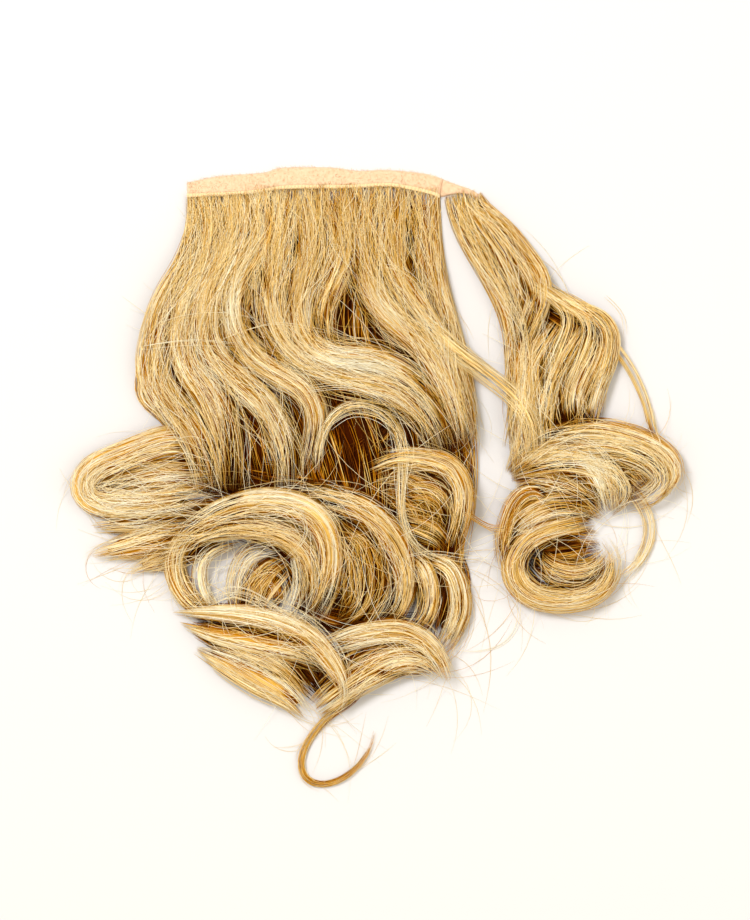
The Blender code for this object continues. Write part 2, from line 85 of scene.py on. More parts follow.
CURTAIN_LOCKS = (
    Lock("under_left", 10, 22, 44, 28, (
        (-48, -24), (-60, -70), (-64, -100), (-46, -140), (-34, -184))),
    Lock("under_middle", 10, 28, 52, 24, (
        (-14, -24), (-12, -80), (10, -140), (22, -196), (20, -250))),
    Lock("under_right", 10, 26, 40, 18, ((36, -24), (46, -84), (64, -140), (68, -196), (64, -246))),
    Lock("under_fold", 9, 22, 28, 22, ((14, -24), (17, -60), (18, -92), (34, -124))),
    Lock("under_ringlet", 8, 16, 30, 16, (
        (-66, -196), (-44, -190), (-16, -200), (-4, -226), (-8, -250))),
    Lock("under_swoops", 7, 9, 26, 12, ((-72, -252), (-44, -259), (-16, -266), (4, -284))),
    Lock("under_bottom", 7, 12, 28, 12, ((-2, -292), (18, -276), (42, -266), (66, -273))),
    Lock("tip_lower", 7, 13, 14, 6, ((-50, -200), (-70, -207), (-88, -213), (-109, -222))),
    Lock("tip_middle", 8, 14, 17, 9, ((-50, -194), (-78, -199), (-104, -206), (-129, -212))),
    Lock("tip_upper", 8, 16, 17, 9, ((-50, -186), (-80, -190), (-104, -193), (-129, -195))),
    Lock("loop_inner", 9, 16, 20, 8, ((-56, -166), (-86, -167), (-110, -171), (-130, -173))),
    Lock("left_loop", 13, 22, 17, 18, (
        (-60, -152), (-84, -148), (-108, -156), (-126, -164), (-132, -174), (-124, -182),
        (-98, -183), (-56, -178))),
    Lock("inner_gold", 9, 12, 17, 12, (
        (-28, -26), (-36, -50), (-42, -70), (-40, -88), (-28, -102), (-14, -110))),
    Lock("left_outer", 13, 13, 22, 16, (
        (-68.8, -13), (-68, -28), (-74, -50), (-85, -71), (-91, -94), (-92, -112), (-84, -126),
        (-72, -142), (-64, -160), (-61, -180))),
    Lock("left_inner", 12, 15, 20, 15, (
        (-58, -12.4), (-58, -28), (-63, -50), (-73, -70), (-77, -90), (-73, -107), (-62, -122),
        (-55, -140), (-52, -158), (-52, -178))),
    Lock("second_wave", 12, 15, 19, 13, (
        (-46, -11.7), (-46, -28), (-54, -48), (-63, -66), (-65, -84), (-60, -100), (-46, -114),
        (-32, -127), (-23, -143), (-19, -160), (-20, -180))),
    Lock("middle_wave", 10, 17, 17, 10, (
        (9, -8), (12, -28), (12, -44), (6, -58), (1, -74), (3, -92), (12, -106))),
    Lock("centre_wave", 12, 17, 17, 13, (
        (-22, -9), (-24, -28), (-27, -48), (-27, -66), (-24, -84), (-13, -99), (4, -109),
        (22, -114), (39, -119), (53, -129), (63, -143), (68, -158))),
    Lock("bright_wave", 13, 14, 15, 10, (
        (-34.6, -10.6), (-33, -26), (-39, -42), (-48, -57), (-51, -73), (-47, -89), (-37, -102),
        (-22, -111), (-9, -120), (-3, -134), (-5, -150), (-10, -168))),
    Lock("crest_wave", 13, 18, 17, 12, (
        (-7, -8.2), (-4, -28), (-5, -46), (-11, -63), (-12, -80), (-5, -94), (9, -101), (26, -102),
        (42, -108), (56, -118), (67, -134), (75, -152))),
    Lock("right_edge", 11, 19, 14, 10, (
        (56, -9.4), (59, -40), (65, -66), (73, -92), (80, -118), (85, -150))),
    Lock("right_wave", 12, 18, 17, 11, (
        (39, -7.6), (39, -44), (46, -63), (58, -80), (69, -100), (78, -124), (83, -150))),
    Lock("right_sweep", 13, 17, 17, 12, (
        (24, -7.8), (25, -44), (30, -64), (41, -79), (55, -92), (66, -108), (75, -128),
        (81, -154))),
    Lock("crossing_strand", 4.5, 9, 11, 6, ((50, -76), (70, -93), (87, -105), (101, -114))),
    Lock("ringlet_side_foot", 10, 13, 18, 11, ((40, -192), (54, -194), (66, -200), (72, -208))),
    Lock("ringlet_side_fold", 12, 15, 19, 12, ((40, -176), (58, -175), (69, -182), (74, -196))),
    Lock("ringlet_side", 15, 13, 15, 10, (
        (24, -165), (40, -158), (57, -158), (72, -163), (79, -176), (78, -192), (73, -208))),
    Lock("hollow_ring", 5, 5, 6, 4, (
        (-2, -166), (-1, -148), (7, -133), (20, -127), (34, -131), (43, -142), (46, -158),
        (45, -178), (46, -196), (54, -209), (70, -215), (92, -215))),
    Lock("arc_inside", 10, 16, 28, 16, ((4, -190), (20, -206), (25, -222), (23, -238), (12, -252))),
    Lock("arc_end", 11, 11, 13, 9, ((46, -208), (57, -218), (61, -232), (59, -246), (50, -257))),
    Lock("arc_rim", 11, 9, 13, 8, (
        (60, -213), (72, -220), (77, -233), (77, -246), (72, -258), (67, -266))),
    Lock("centre_arc", 15, 13, 17, 11, (
        (-16, -178), (6, -180), (24, -187), (37, -199), (45, -214), (47, -229), (43, -243),
        (34, -252))),
    Lock("ringlet_veil", 9, 10, 12, 10, ((-46, -246), (-48, -228), (-40, -212), (-22, -208))),
    Lock("ringlet_small", 12, 10, 15, 12, (
        (-40, -240), (-38, -226), (-28, -219), (-19, -226), (-18, -238), (-26, -248))),
    Lock("ringlet_left", 11, 11, 12, 9, (
        (-56, -192), (-74, -201), (-82, -214), (-79, -229), (-70, -240), (-56, -246))),
    Lock("ringlet_lip", 11, 8, 8, 7, (
        (-60, -244), (-67, -232), (-68, -218), (-60, -208), (-44, -204))),
    Lock("ringlet_inner", 17, 10, 16, 10, (
        (-78, -211), (-70, -201), (-54, -196), (-34, -196), (-16, -203), (-6, -215), (-4, -230),
        (-10, -244))),
    Lock("ringlet_outer", 20, 10, 17, 11, (
        (-76, -200), (-62, -191), (-44, -184), (-24, -183), (-6, -189), (3, -202), (5, -217),
        (2, -233), (-6, -248))),
    Lock("bottom_left", 11, 7, 20, 9, (
        (-71, -264), (-54, -271), (-35, -281), (-19, -291), (-8, -303))),
    Lock("bottom_left_upper", 9, 7, 15, 10, (
        (-66, -257), (-48, -263), (-30, -270), (-17, -279), (-7, -292))),
    Lock("stray_loop", 3, 4.5, 3.4, 2.4, (
        (27, -281), (17, -294), (5, -302), (-5, -313), (-11, -326), (-9, -337), (0, -341),
        (11, -338), (21, -330), (28, -319), (30, -309))),
    Lock("bottom_right", 12, 11, 19, 10, (
        (-4, -299), (10, -288), (27, -277), (43, -270), (58, -271), (69, -281))),
    Lock("bottom_right_upper", 12, 10, 15, 8, (
        (-6, -268), (9, -261), (27, -256), (45, -255), (58, -261), (67, -271), (72, -283))),
    Lock("lower_swoop", 9, 4, 14, 9, (
        (-80, -250), (-58, -256), (-36, -260), (-14, -265), (4, -274))),
    Lock("upper_swoop", 11, 3, 14, 5, (
        (-84, -244), (-62, -244), (-40, -246), (-18, -252), (-2, -262), (8, -275), (13, -288),
        (11, -301))),
)

WRAP_LOCKS = (
    Lock("wrap_left", 10, 11, 13, 10, (
        (75, -12.8), (81, -30), (91, -47), (100, -62), (107, -78), (110, -94), (111, -126),
        (113, -172))),
    Lock("wrap_middle", 10, 9, 15, 12, (
        (81.5, -13.6), (93, -29), (104, -45), (111, -60), (114, -76), (112, -92))),
    Lock("fold_outer", 11, 14, 17, 14, (
        (157, -84), (152, -98), (144, -113), (141, -128), (144, -142))),
    Lock("fold_middle", 12, 15, 18, 15, (
        (143, -80), (135, -95), (129, -111), (128, -127), (132, -143))),
    Lock("fold_inner", 13, 13, 17, 15, (
        (129, -74), (120, -88), (116, -104), (117, -121), (120, -138), (124, -152))),
    Lock("fold_ridge", 9, 10, 11, 8, (
        (114, -56), (129, -67), (143, -74), (156, -79), (163, -89), (162, -103), (156, -118),
        (154, -134))),
    Lock("wrap_outer", 12, 9, 14, 11, (
        (86.5, -15.8), (101, -28), (113, -44), (121, -57), (122, -69), (117, -81), (114, -96))),
    Lock("side_strand", 3.5, 5, 4.5, 4, (
        (161, -90), (173, -106), (181, -122), (186, -140), (190, -156))),
    Lock("curl_core", 9, 16, 26, 14, ((116, -210), (136, -208), (157, -206))),
    Lock("curl_ring", 15, 10, 15, 9, (
        (154, -193), (136, -196), (119, -202), (110, -213), (110, -225), (119, -234), (133, -237),
        (149, -235), (160, -227), (163, -214), (157, -203))),
    Lock("curl_lip", 10, 8, 11, 7, (
        (122, -211), (130, -218), (143, -221), (155, -217), (161, -210))),
    Lock("curl_low", 13, 11, 18, 11, (
        (104, -206), (112, -194), (126, -186), (141, -184), (156, -190))),
    Lock("curl_fold", 13, 10, 17, 9, (
        (108, -169), (123, -167), (139, -171), (151, -180), (160, -190))),
    Lock("curl_mouth", 11, 16, 28, 17, ((148, -154), (162, -159), (174, -166), (184, -176))),
    Lock("curl_front", 15, 11, 18, 10, (
        (116, -160), (129, -153), (144, -155), (155, -166), (160, -178), (162, -189))),
    Lock("curl_crown", 17, 12, 16, 10, (
        (120, -150), (134, -145), (150, -143), (166, -145), (182, -150), (194, -158), (198, -169),
        (191, -178))),
    Lock("outer_curl", 4, 7, 6, 4.5, (
        (174, -174), (183, -189), (184, -203), (178, -216), (168, -225))),
)

# Layers of hair, each standing on the table by itself, that fill the spaces between and under the
# locks.
CURTAIN_FILLS = (
    Lock("fill_upper", 5.5, 20, 26, 20, ((-72, -164), (-42, -171), (-12, -176), (16, -178))),
    Lock("fill_middle", 5.5, 16, 30, 26, ((-14, -118), (-12, -145), (-14, -176))),
    Lock("left_corner", 8, 10, 12, 10, (
        (-84, -76), (-94, -98), (-98, -114), (-96.5, -124), (-86, -132), (-72, -146))),
    Lock("fill_low", 5.5, 16, 28, 22, ((-16, -236), (6, -243), (30, -245), (56, -243))),
    Lock("fill_right", 6.5, 12, 21, 12, ((60, -200), (71, -218), (72.5, -238), (66, -262))),
    Lock("fill_bottom", 6.5, 16, 24, 16, ((-24, -260), (-8, -274), (4, -290))),
    Lock("fill_hollow", 6.5, 20, 30, 22, ((44, -128), (30, -140), (14, -152), (-2, -162))),
    Lock("ringlet_barrel", 13, 12, 24, 16, ((-17, -215), (-27, -223), (-35, -235), (-38, -248))),
    Lock("fan_inner", 15, 10, 18, 12, ((28, -170), (42, -167), (56, -171), (65, -184), (65, -202))),
    Lock("fan_low", 13, 10, 18, 12, ((28, -176), (42, -178), (53, -188), (57, -206))),
)
WRAP_FILLS = (
    Lock("fill_fold", 7, 18, 26, 20, ((116, -66), (131, -77), (146, -86), (156, -94))),
    Lock("fill_neck", 7, 34, 36, 30, ((130, -112), (131, -134), (134, -160))),
    Lock("fill_curl", 7, 18, 30, 22, ((112, -186), (134, -182), (156, -176))),
    Lock("curl_left", 13, 9, 11, 8, (
        (134, -187), (121, -177), (110.5, -181), (105, -193), (102, -207), (104, -222))),
    Lock("curl_floor", 6.5, 10, 13, 9, ((118, -214), (130, -225), (146, -227), (158, -219))),
    Lock("wrap_foot", 14, 14, 18, 5, (
        (114, -112), (115, -130), (115, -144), (112, -156), (105, -167))),
    Lock("fold_edge", 13, 8, 11, 9, (
        (160, -84), (160, -98), (156, -114), (151, -130), (148, -146))),
    Lock("fold_sheet", 17, 8, 13, 12, (
        (136, -77), (128, -88), (119, -102), (114, -118), (111, -136), (108, -154))),
    Lock("fold_back", 15, 8, 13, 12, (
        (150, -80), (142, -92), (133, -106), (127, -122), (125, -138), (125, -154))),
    Lock("crown_sheet", 19, 6, 19, 9, (
        (105, -166), (118, -158), (134, -152), (152, -150), (171, -153), (185, -160), (191, -170),
        (184, -178), (170, -184))),
    Lock("front_sheet", 19, 5, 19, 9, (
        (106, -168), (122, -163), (138, -160), (153, -163), (165, -170), (168, -179), (160, -187))),
)

# The long edges of the tape and of its tab, from left to right.
TAPE_TOP_EDGE = (
    (-75.5, -2.5), (-57, 1.2), (-33, 3), (-22, 5.8), (4, 6), (21, 4.2), (37, 4.6), (59, 2.4),
    (68.5, -0.6))
TAPE_LOW_EDGE = (
    (-75.5, -10.6), (-52, -9.6), (-35, -8.2), (-18, -5.8), (15, -5.6), (32, -4.6), (43, -5),
    (59, -8.2), (66.5, -10.8))
TAB_TOP_EDGE = ((68.3, -0.7), (76, -3.6), (84, -6.4), (91, -10.6))
TAB_LOW_EDGE = ((66.4, -11), (76, -9), (83, -9.6), (88, -12.6))

# The profile of a lock's upper side: shares of the half width, and of the thickness there.
CROWN_ACROSS = (0, 0.62, 1, 1.2)
CROWN_UP = (1, 0.90, 0.52, 0.15)

# Strands: their width over the locks and in the depths, the longest step and turn between their
# stations, how deep they lie in a lock, and how far apart the knots of their wandering are.
STRAND_WIDE = 0.34
DEPTH_WIDE = 0.54
STRAND_STRAIGHT = 11.0
STRAND_TURN = math.radians(20)
STRAND_DEPTH = 1.1
KNOT_EVERY = 34.0

# The clumps of a lock: how wide one is and how high it rises, and in shares of the lock's half
# width how far out the outermost lie, how far they sway, how far their strands and the loose
# ones sway, and how far out loose strands and all strands may be.
CLUMP_WIDE = 2.9
CLUMP_RISE = 0.7
CLUMP_SPAN = 0.88
CLUMP_SWAY = 0.09
STRAND_SWAY = 0.20
LOOSE_SPAN = 1.02
STRAND_SPAN = 1.12

# The shares of a lock's strands that lie along its underside and round its rim, and the least
# height of strands and of single hairs over the table.
BELOW_SHARE = 0.10
RIM_SHARE = 0.08
STRAND_FLOOR = 0.3
WISP_FLOOR = 0.25

# The shares of a lock's length over which its strands start one by one: at the weft, at ragged
# starts and elsewhere. They end so too: over a share, with a power that leaves most of them long.
WEFT_SPREAD = 0.012
RAGGED_SPREAD = 0.26
START_SPREAD = 0.06
FREE_SPREAD = (0.16, 1.6)
TIP_SPREAD = (0.24, 1.2)

# How shades differ within a lock: how much paler than its tone all of it is, how much more at its
# rim, painted light on the lock's sides, and on loose strands, and how far they swing by clump, by
# strand and along a strand, and darken for each millimetre of depth, painted shade for the hair
# deeper in the lock.
PALER = 0.05
RIM_PAINTED_LIGHT = 0.12
LOOSE_PALER = 0.03
CLUMP_TONE = 0.15
STRAND_TONE = 0.12
ALONG_TONE = 0.07
DEPTH_PAINTED_SHADE = 0.24

# Coordinates along a strand: the length that fills the map once, the edge left free in it, and
# the step of shade between a strand's three corners, so that each face has an area in the map.
UV_SPAN = 400.0
UV_EDGE = 2
SIDE_SHADE = 0.004

# How a lock's strands look: their tone from 0, deep golden brown, to 1, palest, how many times
# they cover the lock, and the share of them that lie loose between its clumps.
Look = namedtuple("Look", "tone cover loose")
PLAIN = Look(0.55, 2.3, 0.34)

# The pieces of strands, by the locks that each covers and how these look. The locks under the
# others and the layers that fill the spaces, in depth_strands and wrap_depths, have mostly low
# tones: painted shade for the hair deep in the pile.
CURTAIN_PIECES = {
    "depth_strands": {
        "under_left": Look(0.24, 1.3, 0.6), "under_middle": Look(0.28, 1.7, 0.6),
        "under_right": Look(0.34, 1.6, 0.6), "under_fold": Look(0.34, 1.8, 0.5),
        "under_ringlet": Look(0.34, 1.2, 0.5), "under_swoops": Look(0.36, 1.4, 0.5),
        "under_bottom": Look(0.36, 1.4, 0.5), "fill_upper": Look(0.34, 1.5, 0.6),
        "fill_middle": Look(0.36, 1.5, 0.6), "fill_low": Look(0.34, 1.5, 0.6),
        "fill_right": Look(0.40, 1.5, 0.6), "left_corner": Look(0.58, 2.2, 0.3),
        "fill_bottom": Look(0.36, 1.6, 0.6), "fill_hollow": Look(0.34, 2.8, 0.6),
        "ringlet_barrel": Look(0.42, 2.2, 0.3), "fan_inner": Look(0.52, 2.0, 0.3),
        "fan_low": Look(0.40, 2.0, 0.4)},
    "left_waves": {
        "tip_lower": Look(0.62, 2.2, 0.3), "tip_middle": Look(0.66, 2.2, 0.3),
        "tip_upper": Look(0.66, 2.2, 0.3), "loop_inner": Look(0.68, 2.0, 0.4),
        "left_loop": Look(0.64, 2.4, 0.2), "left_outer": Look(0.58, 2.2, 0.25),
        "left_inner": Look(0.59, 2.3, 0.34), "second_wave": Look(0.58, 2.3, 0.34)},
    "middle_waves": {
        "inner_gold": Look(0.40, 2.2, 0.3), "middle_wave": Look(0.52, 2.0, 0.25),
        "centre_wave": PLAIN, "bright_wave": Look(0.62, 2.4, 0.15),
        "crest_wave": Look(0.56, 2.4, 0.2)},
    "right_waves": {
        "right_edge": PLAIN, "right_wave": PLAIN, "right_sweep": PLAIN,
        "crossing_strand": Look(0.74, 1.6, 0.6), "ringlet_side_foot": Look(0.48, 2.2, 0.3),
        "ringlet_side_fold": PLAIN, "ringlet_side": PLAIN, "hollow_ring": Look(0.66, 1.4, 0.8)},
    "ringlets": {
        "arc_inside": Look(0.46, 1.8, 0.5), "arc_end": Look(0.66, 2.3, 0.3),
        "arc_rim": Look(0.66, 2.3, 0.3), "centre_arc": Look(0.62, 2.3, 0.2),
        "ringlet_veil": Look(0.72, 1.1, 0.9), "ringlet_left": PLAIN,
        "ringlet_lip": Look(0.72, 1.6, 0.5), "ringlet_inner": PLAIN,
        "ringlet_outer": Look(0.66, 2.4, 0.15)},
    "curled_ends": {
        "bottom_left": Look(0.64, 2.3, 0.34), "bottom_left_upper": Look(0.62, 2.3, 0.34),
        "stray_loop": Look(0.40, 2.5, 0.2), "bottom_right": PLAIN,
        "bottom_right_upper": Look(0.62, 2.3, 0.25), "lower_swoop": Look(0.60, 2.4, 0.3),
        "upper_swoop": Look(0.66, 2.4, 0.25)},
}
WRAP_PIECES = {
    "wrap_depths": {
        "fill_fold": Look(0.34, 1.5, 0.5), "fill_neck": Look(0.34, 1.4, 0.5),
        "fill_curl": Look(0.34, 1.5, 0.5), "curl_left": Look(0.48, 1.9, 0.4),
        "curl_floor": Look(0.56, 1.8, 0.4), "wrap_foot": Look(0.52, 1.8, 0.4)},
    "wrap_sheets": {
        "fold_edge": Look(0.56, 2.2, 0.2), "fold_sheet": Look(0.60, 2.2, 0.2),
        "fold_back": Look(0.56, 2.2, 0.2), "crown_sheet": Look(0.60, 2.3, 0.2),
        "front_sheet": Look(0.56, 2.3, 0.2)},
    "wrap_waves": {
        "wrap_left": PLAIN, "wrap_middle": PLAIN, "fold_outer": PLAIN, "fold_middle": PLAIN,
        "fold_inner": PLAIN, "fold_ridge": Look(0.48, 2.2, 0.3), "wrap_outer": PLAIN,
        "side_strand": Look(0.62, 2.0, 0.4)},
    "wrap_curl": {
        "curl_core": Look(0.36, 1.6, 0.5), "curl_ring": PLAIN, "curl_lip": PLAIN,
        "curl_low": Look(0.68, 2.3, 0.2), "curl_fold": PLAIN, "curl_mouth": Look(0.54, 1.8, 0.5),
        "curl_front": Look(0.70, 2.4, 0.15), "curl_crown": Look(0.62, 2.3, 0.2),
        "outer_curl": Look(0.66, 1.7, 0.6)},
}
LOOKS = {"ringlet_small": Look(0.60, 0.8, 0.9)}
for covered in (*CURTAIN_PIECES.values(), *WRAP_PIECES.values()):
    LOOKS.update(covered)

# Sizes of the tape, its tab and its binding, as in the solid part. The binding's rib hangs over
# the tape's lower edge, and its stitches slant by a share of their pitch.
TAPE_THICK = 2.2
TAB_THICK = 2.0
BINDING_WIDE = 2.4
BINDING_THICK = 1.0
BINDING_OVERHANG = 0.6
RIB_LOW = 2.5
STITCH_PITCH = 1.9
STITCH_SLANT = 0.42
STITCH_STATIONS = 6
THREAD_RADIUS = 0.17

# The tape's nap: how many loops stand on the tape and on its tab, the share of them that stand
# out at an edge, and a loop's stations: how far out, how far up and how far aside it bows.
TAPE_LOOPS = 1300
TAB_LOOPS = 160
EDGE_LOOPS = 0.16
LOOP_STATIONS = ((0, 0, 0), (0.3, 0.9, 1), (0.8, 0.8, 1), (1, 0.1, 0))

# Strands that leave the weft start this far up under the binding, this high, and then rise.
ROOT_LEAD = 4.5
ROOT_HEIGHT = 2.0
ROOT_SLOPE = 0.55

# The dark cores, whose darkness is painted shade for the depths between the strands: the sides of
# their ovals, the least thickness of a lock that has one, the locks that have none, how far a core
# lies under its strands, its share of the lock's width, where along the lock it starts and ends,
# how much darker than the strands it is and how dark at most, how far it stands off the
# underside, and the length over which it thins out at its ends.
CORE_SIDES = 10
CORE_LEAST = 5.0
CORELESS = ("hollow_ring", "ringlet_veil", "ringlet_lip", "ringlet_small", "fold_edge",
            "fold_sheet", "fold_back", "crown_sheet", "front_sheet")
CORE_COVER = 1.7
CORE_SHARE = 0.88
CORE_START = 0.04
CORE_RAGGED_START = 0.16
CORE_END = 0.90
CORE_FREE_END = 0.95
CORE_PAINTED_SHADE = 0.16
CORE_DARKEST = -0.12
CORE_LIFT = 0.2
CORE_TAPER = 16.0

# Painted shade: how much darker hair is painted for each millimetre that it lies below the hair
# some way round it and close round it. And how much darker it is next to the weft, fading over a
# length.
BURIAL_PAINTED_SHADE = 0.045
CREVICE_PAINTED_SHADE = 0.15
ROOT_SHADE = 0.21
ROOT_FADE = 70.0

# The depths at which those painted shades start and stop to grow. They come in where strands
# cover more than COVER_START of the table round a place, and in full COVER_RISE above that, so
# that the hair at the outline stays pale.
BURIAL_START = 0.8
BURIAL_LIMITS = (-1.5, 6)
CREVICE_LIMIT = 1.8
COVER_START = 0.55
COVER_RISE = 0.35

# Locks whose tips lie free, while other ends go in under the hair round them over END_DIVE. Free
# tips and FREE_STARTS are rounded over ROUND_END. The strands of RAGGED_STARTS begin at uneven
# places. No loose strand hangs out at the sides of OUTLINE_LOCKS.
FREE_TIPS = ("tip_lower", "tip_middle", "tip_upper", "bottom_left", "bottom_left_upper",
             "bottom_right", "bottom_right_upper", "stray_loop", "outer_curl", "side_strand",
             "crossing_strand", "upper_swoop", "curl_crown", "curl_mouth")
FREE_STARTS = ("lower_swoop", "upper_swoop", "bottom_left", "bottom_left_upper")
RAGGED_STARTS = ("ringlet_outer", "ringlet_inner", "curl_crown", "curl_front", "centre_arc",
                 "bottom_right_upper", "ringlet_side")
OUTLINE_LOCKS = ("left_outer", "right_edge", "wrap_left", "wrap_outer")
END_DIVE = 16.0
ROUND_END = 11.0

# Loose strands over the locks: where along a lock they start and how far they run, how far they
# drift across, their thickness, tone, and how many there are for each square centimetre of lock.
# OVER is for every upper lock, and ROOTS for those that leave the weft.
Over = namedtuple("Over", "first run drift thick tone crowd")
OVER = Over((0.0, 0.7), (0.25, 0.6), 0.60, 0.30, 0.68, 2.4)
ROOTS = Over((0.0, 0.004), (0.15, 0.5), 0.7, 0.30, 0.60, 2.5)

# They have this many stations, end before their lock does, stay within OUTLINE_REACH of its half
# width on an outline lock, and drift less on one shorter than DRIFT_LENGTH. Where the hair is
# lower than BARE_TABLE it is bare: a strand with more than BARE_LEAST of its length there is left
# out, but for a few strays. No fine strand reaches up beyond HAIR_TOP, over the tape.
OVER_STATIONS = 14
OVER_END = 0.98
OUTLINE_REACH = 0.98
DRIFT_LENGTH = 150
BARE_TABLE = 1.5
BARE_LEAST = 0.08
STRAYS = 0.06
HAIR_TOP = -2.0

# Places where the hair parts and drops, with painted shade for its dark depths, or where a crest
# gets
# a painted highlight: the middle of each, its half length and half width, its heading in degrees,
# and how deep it is, negative on a crest.
Hollow = namedtuple("Hollow", "x y long wide heading depth")
HOLLOWS = (
    Hollow(-29, -29, 13, 1.8, 88, 0.8), Hollow(-31, -57, 9, 2.0, 100, 0.8),
    Hollow(-41, -80, 19, 4.0, 95, 0.6), Hollow(-50, -96, 9, 2.8, 110, 1.0),
    Hollow(-27, -98, 8, 2.8, 120, 1.0), Hollow(-13, -37, 7, 1.7, 90, 0.7),
    Hollow(-17, -69, 13, 2.2, 95, 0.7), Hollow(20, -53, 7, 2.0, 80, 1.0),
    Hollow(14, -74, 15, 5.0, 65, 0.8), Hollow(-4, -86, 9, 1.5, 85, 1.0),
    Hollow(1, -86, 9, 1.4, 82, 0.9), Hollow(4, -72, 10, 1.5, 72, 0.9),
    Hollow(28, -86, 15, 2.4, -65, 1.0), Hollow(55, -115, 15, 2.0, -45, 0.9),
    Hollow(50, -52, 9, 2.0, -80, 0.8), Hollow(52, -27, 9, 1.5, -88, 0.7),
    Hollow(68, -135, 12, 2.8, -70, 1.0), Hollow(-50, -150, 30, 4.0, -85, 0.8),
    Hollow(-50, -169, 11, 4.5, -90, 1.0), Hollow(-36, -139, 9, 4.5, -45, 0.8),
    Hollow(-27, -162, 9, 1.8, 90, 0.9), Hollow(-14, -157, 14, 2.6, 90, 0.8),
    Hollow(26, -142, 17, 12, 0, 1.0), Hollow(14, -161, 8, 7, 0, 0.9),
    Hollow(2, -122, 9, 3.5, -30, 0.7), Hollow(62, -189, 15, 8, -20, 0.6),
    Hollow(15, -196, 8, 5, 0, 0.8), Hollow(27, -225, 12, 18, 0, 0.3),
    Hollow(11, -242, 5, 8, 0, 0.9), Hollow(57, -238, 3.5, 10, 0, 0.9),
    Hollow(78, -245, 2.5, 13, 5, 0.5), Hollow(-35, -256, 34, 2.6, -10, 0.8),
    Hollow(-11, -280, 10, 7, -45, 0.9), Hollow(42, -279, 15, 2.6, -10, 0.8),
    Hollow(119, -68, 9, 1.8, -60, 0.8), Hollow(140, -80, 6, 3.0, 0, 0.8),
    Hollow(155, -81, 5, 4.0, 0, 0.8), Hollow(124, -110, 7, 2.2, 90, 0.8),
    Hollow(141, -136, 17, 4.0, 10, 0.9), Hollow(118, -163, 8, 3.0, 0, 0.9),
    Hollow(142, -182, 18, 5.0, 10, 0.8), Hollow(136, -205, 9, 4.0, 0, 1.0),
    Hollow(120, -215, 8, 7, 0, 0.8),
    Hollow(-110, -183, 12, 5, 0, -0.5), Hollow(20, -104, 26, 6, -8, -0.8),
    Hollow(36, -74, 18, 5, -60, -0.6), Hollow(-50, -78, 22, 3.5, 82, -0.7),
    Hollow(-22, -183, 24, 6, 0, -0.4),
    Hollow(-63, -226, 4, 14, 0, -0.5), Hollow(-7, -156, 3, 9, 0, -0.5),
    Hollow(-40, -245, 22, 4, -8, -0.5), Hollow(30, -262, 22, 8, -8, -0.4),
    Hollow(151, -162, 9, 10, 0, -0.4), Hollow(123, -170, 6, 4, 0, -0.4),
    Hollow(122, -192, 14, 6, 20, -0.4), Hollow(140, -239, 16, 4, 10, -0.4),
    Hollow(145, -120, 5, 12, 0, -0.3),
)

# How far the hair drops and how much painted shade darkens it where it is parted most, and the
# share of that change which loose strands and crests get; on a crest the change is a painted
# highlight.
HOLLOW_DROP = 3.6
PARTING_PAINTED_SHADE = 0.54
SHALLOW = 0.6

# The share of strands that pass over where the hair parts, and how much of the drop they get.
PASSING = 0.2
PASSING_DROP = 0.15

# Fine strands drawn one by one: how many lie together, how far apart, their thickness and tone,
# and their route, which is followed in steps.
FLYAWAY_STEP = 4.0
Flyaway = namedtuple("Flyaway", "count spread thick tone route")
FLYAWAYS = (
    Flyaway(3, 1.0, 0.30, 0.92, ((-100, -96), (-84, -94), (-66, -93), (-44, -95))),
    Flyaway(2, 0.8, 0.28, 0.90, ((-92, -84), (-74, -79), (-52, -78), (-30, -83))),
    Flyaway(2, 0.7, 0.28, 0.88, ((-56, -90), (-40, -84), (-22, -81), (10, -87))),
    Flyaway(1, 0.6, 0.18, 0.92, ((2, -27), (16, -26.4), (36, -27), (46, -26))),
    Flyaway(3, 1.6, 0.28, 0.86, ((34, -50), (46, -53), (56, -62), (62, -76))),
    Flyaway(2, 1.0, 0.28, 0.85, ((46, -212), (62, -209), (82, -212), (100, -214))),
    Flyaway(1, 0.4, 0.34, 0.60, ((88, -193), (93, -198), (99, -201))),
    Flyaway(46, 2.6, 0.30, 0.62, (
        (62, -86), (76, -98), (90, -108), (104, -119), (114, -130), (119, -142), (120, -158))),
    Flyaway(12, 1.5, 0.34, 0.36, ((80, -188), (90, -195), (99, -198), (108, -195))),
    Flyaway(2, 0.9, 0.24, 0.70, (
        (100, -216), (107, -228), (111, -240), (109, -254), (100, -263), (84, -266), (74, -264))),
    Flyaway(2, 0.8, 0.24, 0.72, ((160, -66), (166, -71), (171, -78), (172, -88))),
    Flyaway(24, 2.4, 0.32, 0.60, ((119, -60), (132, -69), (139, -79), (134, -95), (126, -114))),
    Flyaway(26, 2.4, 0.32, 0.62, ((127, -64), (142, -73), (150, -83), (146, -99), (138, -118))),
    Flyaway(22, 2.2, 0.32, 0.60, ((134, -68), (151, -77), (160, -88), (157, -104), (149, -122))),
    Flyaway(16, 1.5, 0.30, 0.86, ((-15, -213), (-13, -222), (-14, -232), (-19, -243))),
    Flyaway(8, 1.6, 0.30, 0.86, ((-64, -238), (-50, -232), (-36, -236), (-20, -246), (0, -250))),
    Flyaway(4, 1.4, 0.30, 0.88, ((-8, -120), (10, -118), (28, -122), (44, -132))),
    Flyaway(4, 1.6, 0.30, 0.84, ((4, -140), (16, -132), (32, -134), (46, -146), (52, -160))),
    Flyaway(3, 1.2, 0.28, 0.90, ((-20, -214), (-8, -200), (-14, -186), (-36, -178), (-58, -184))),
)

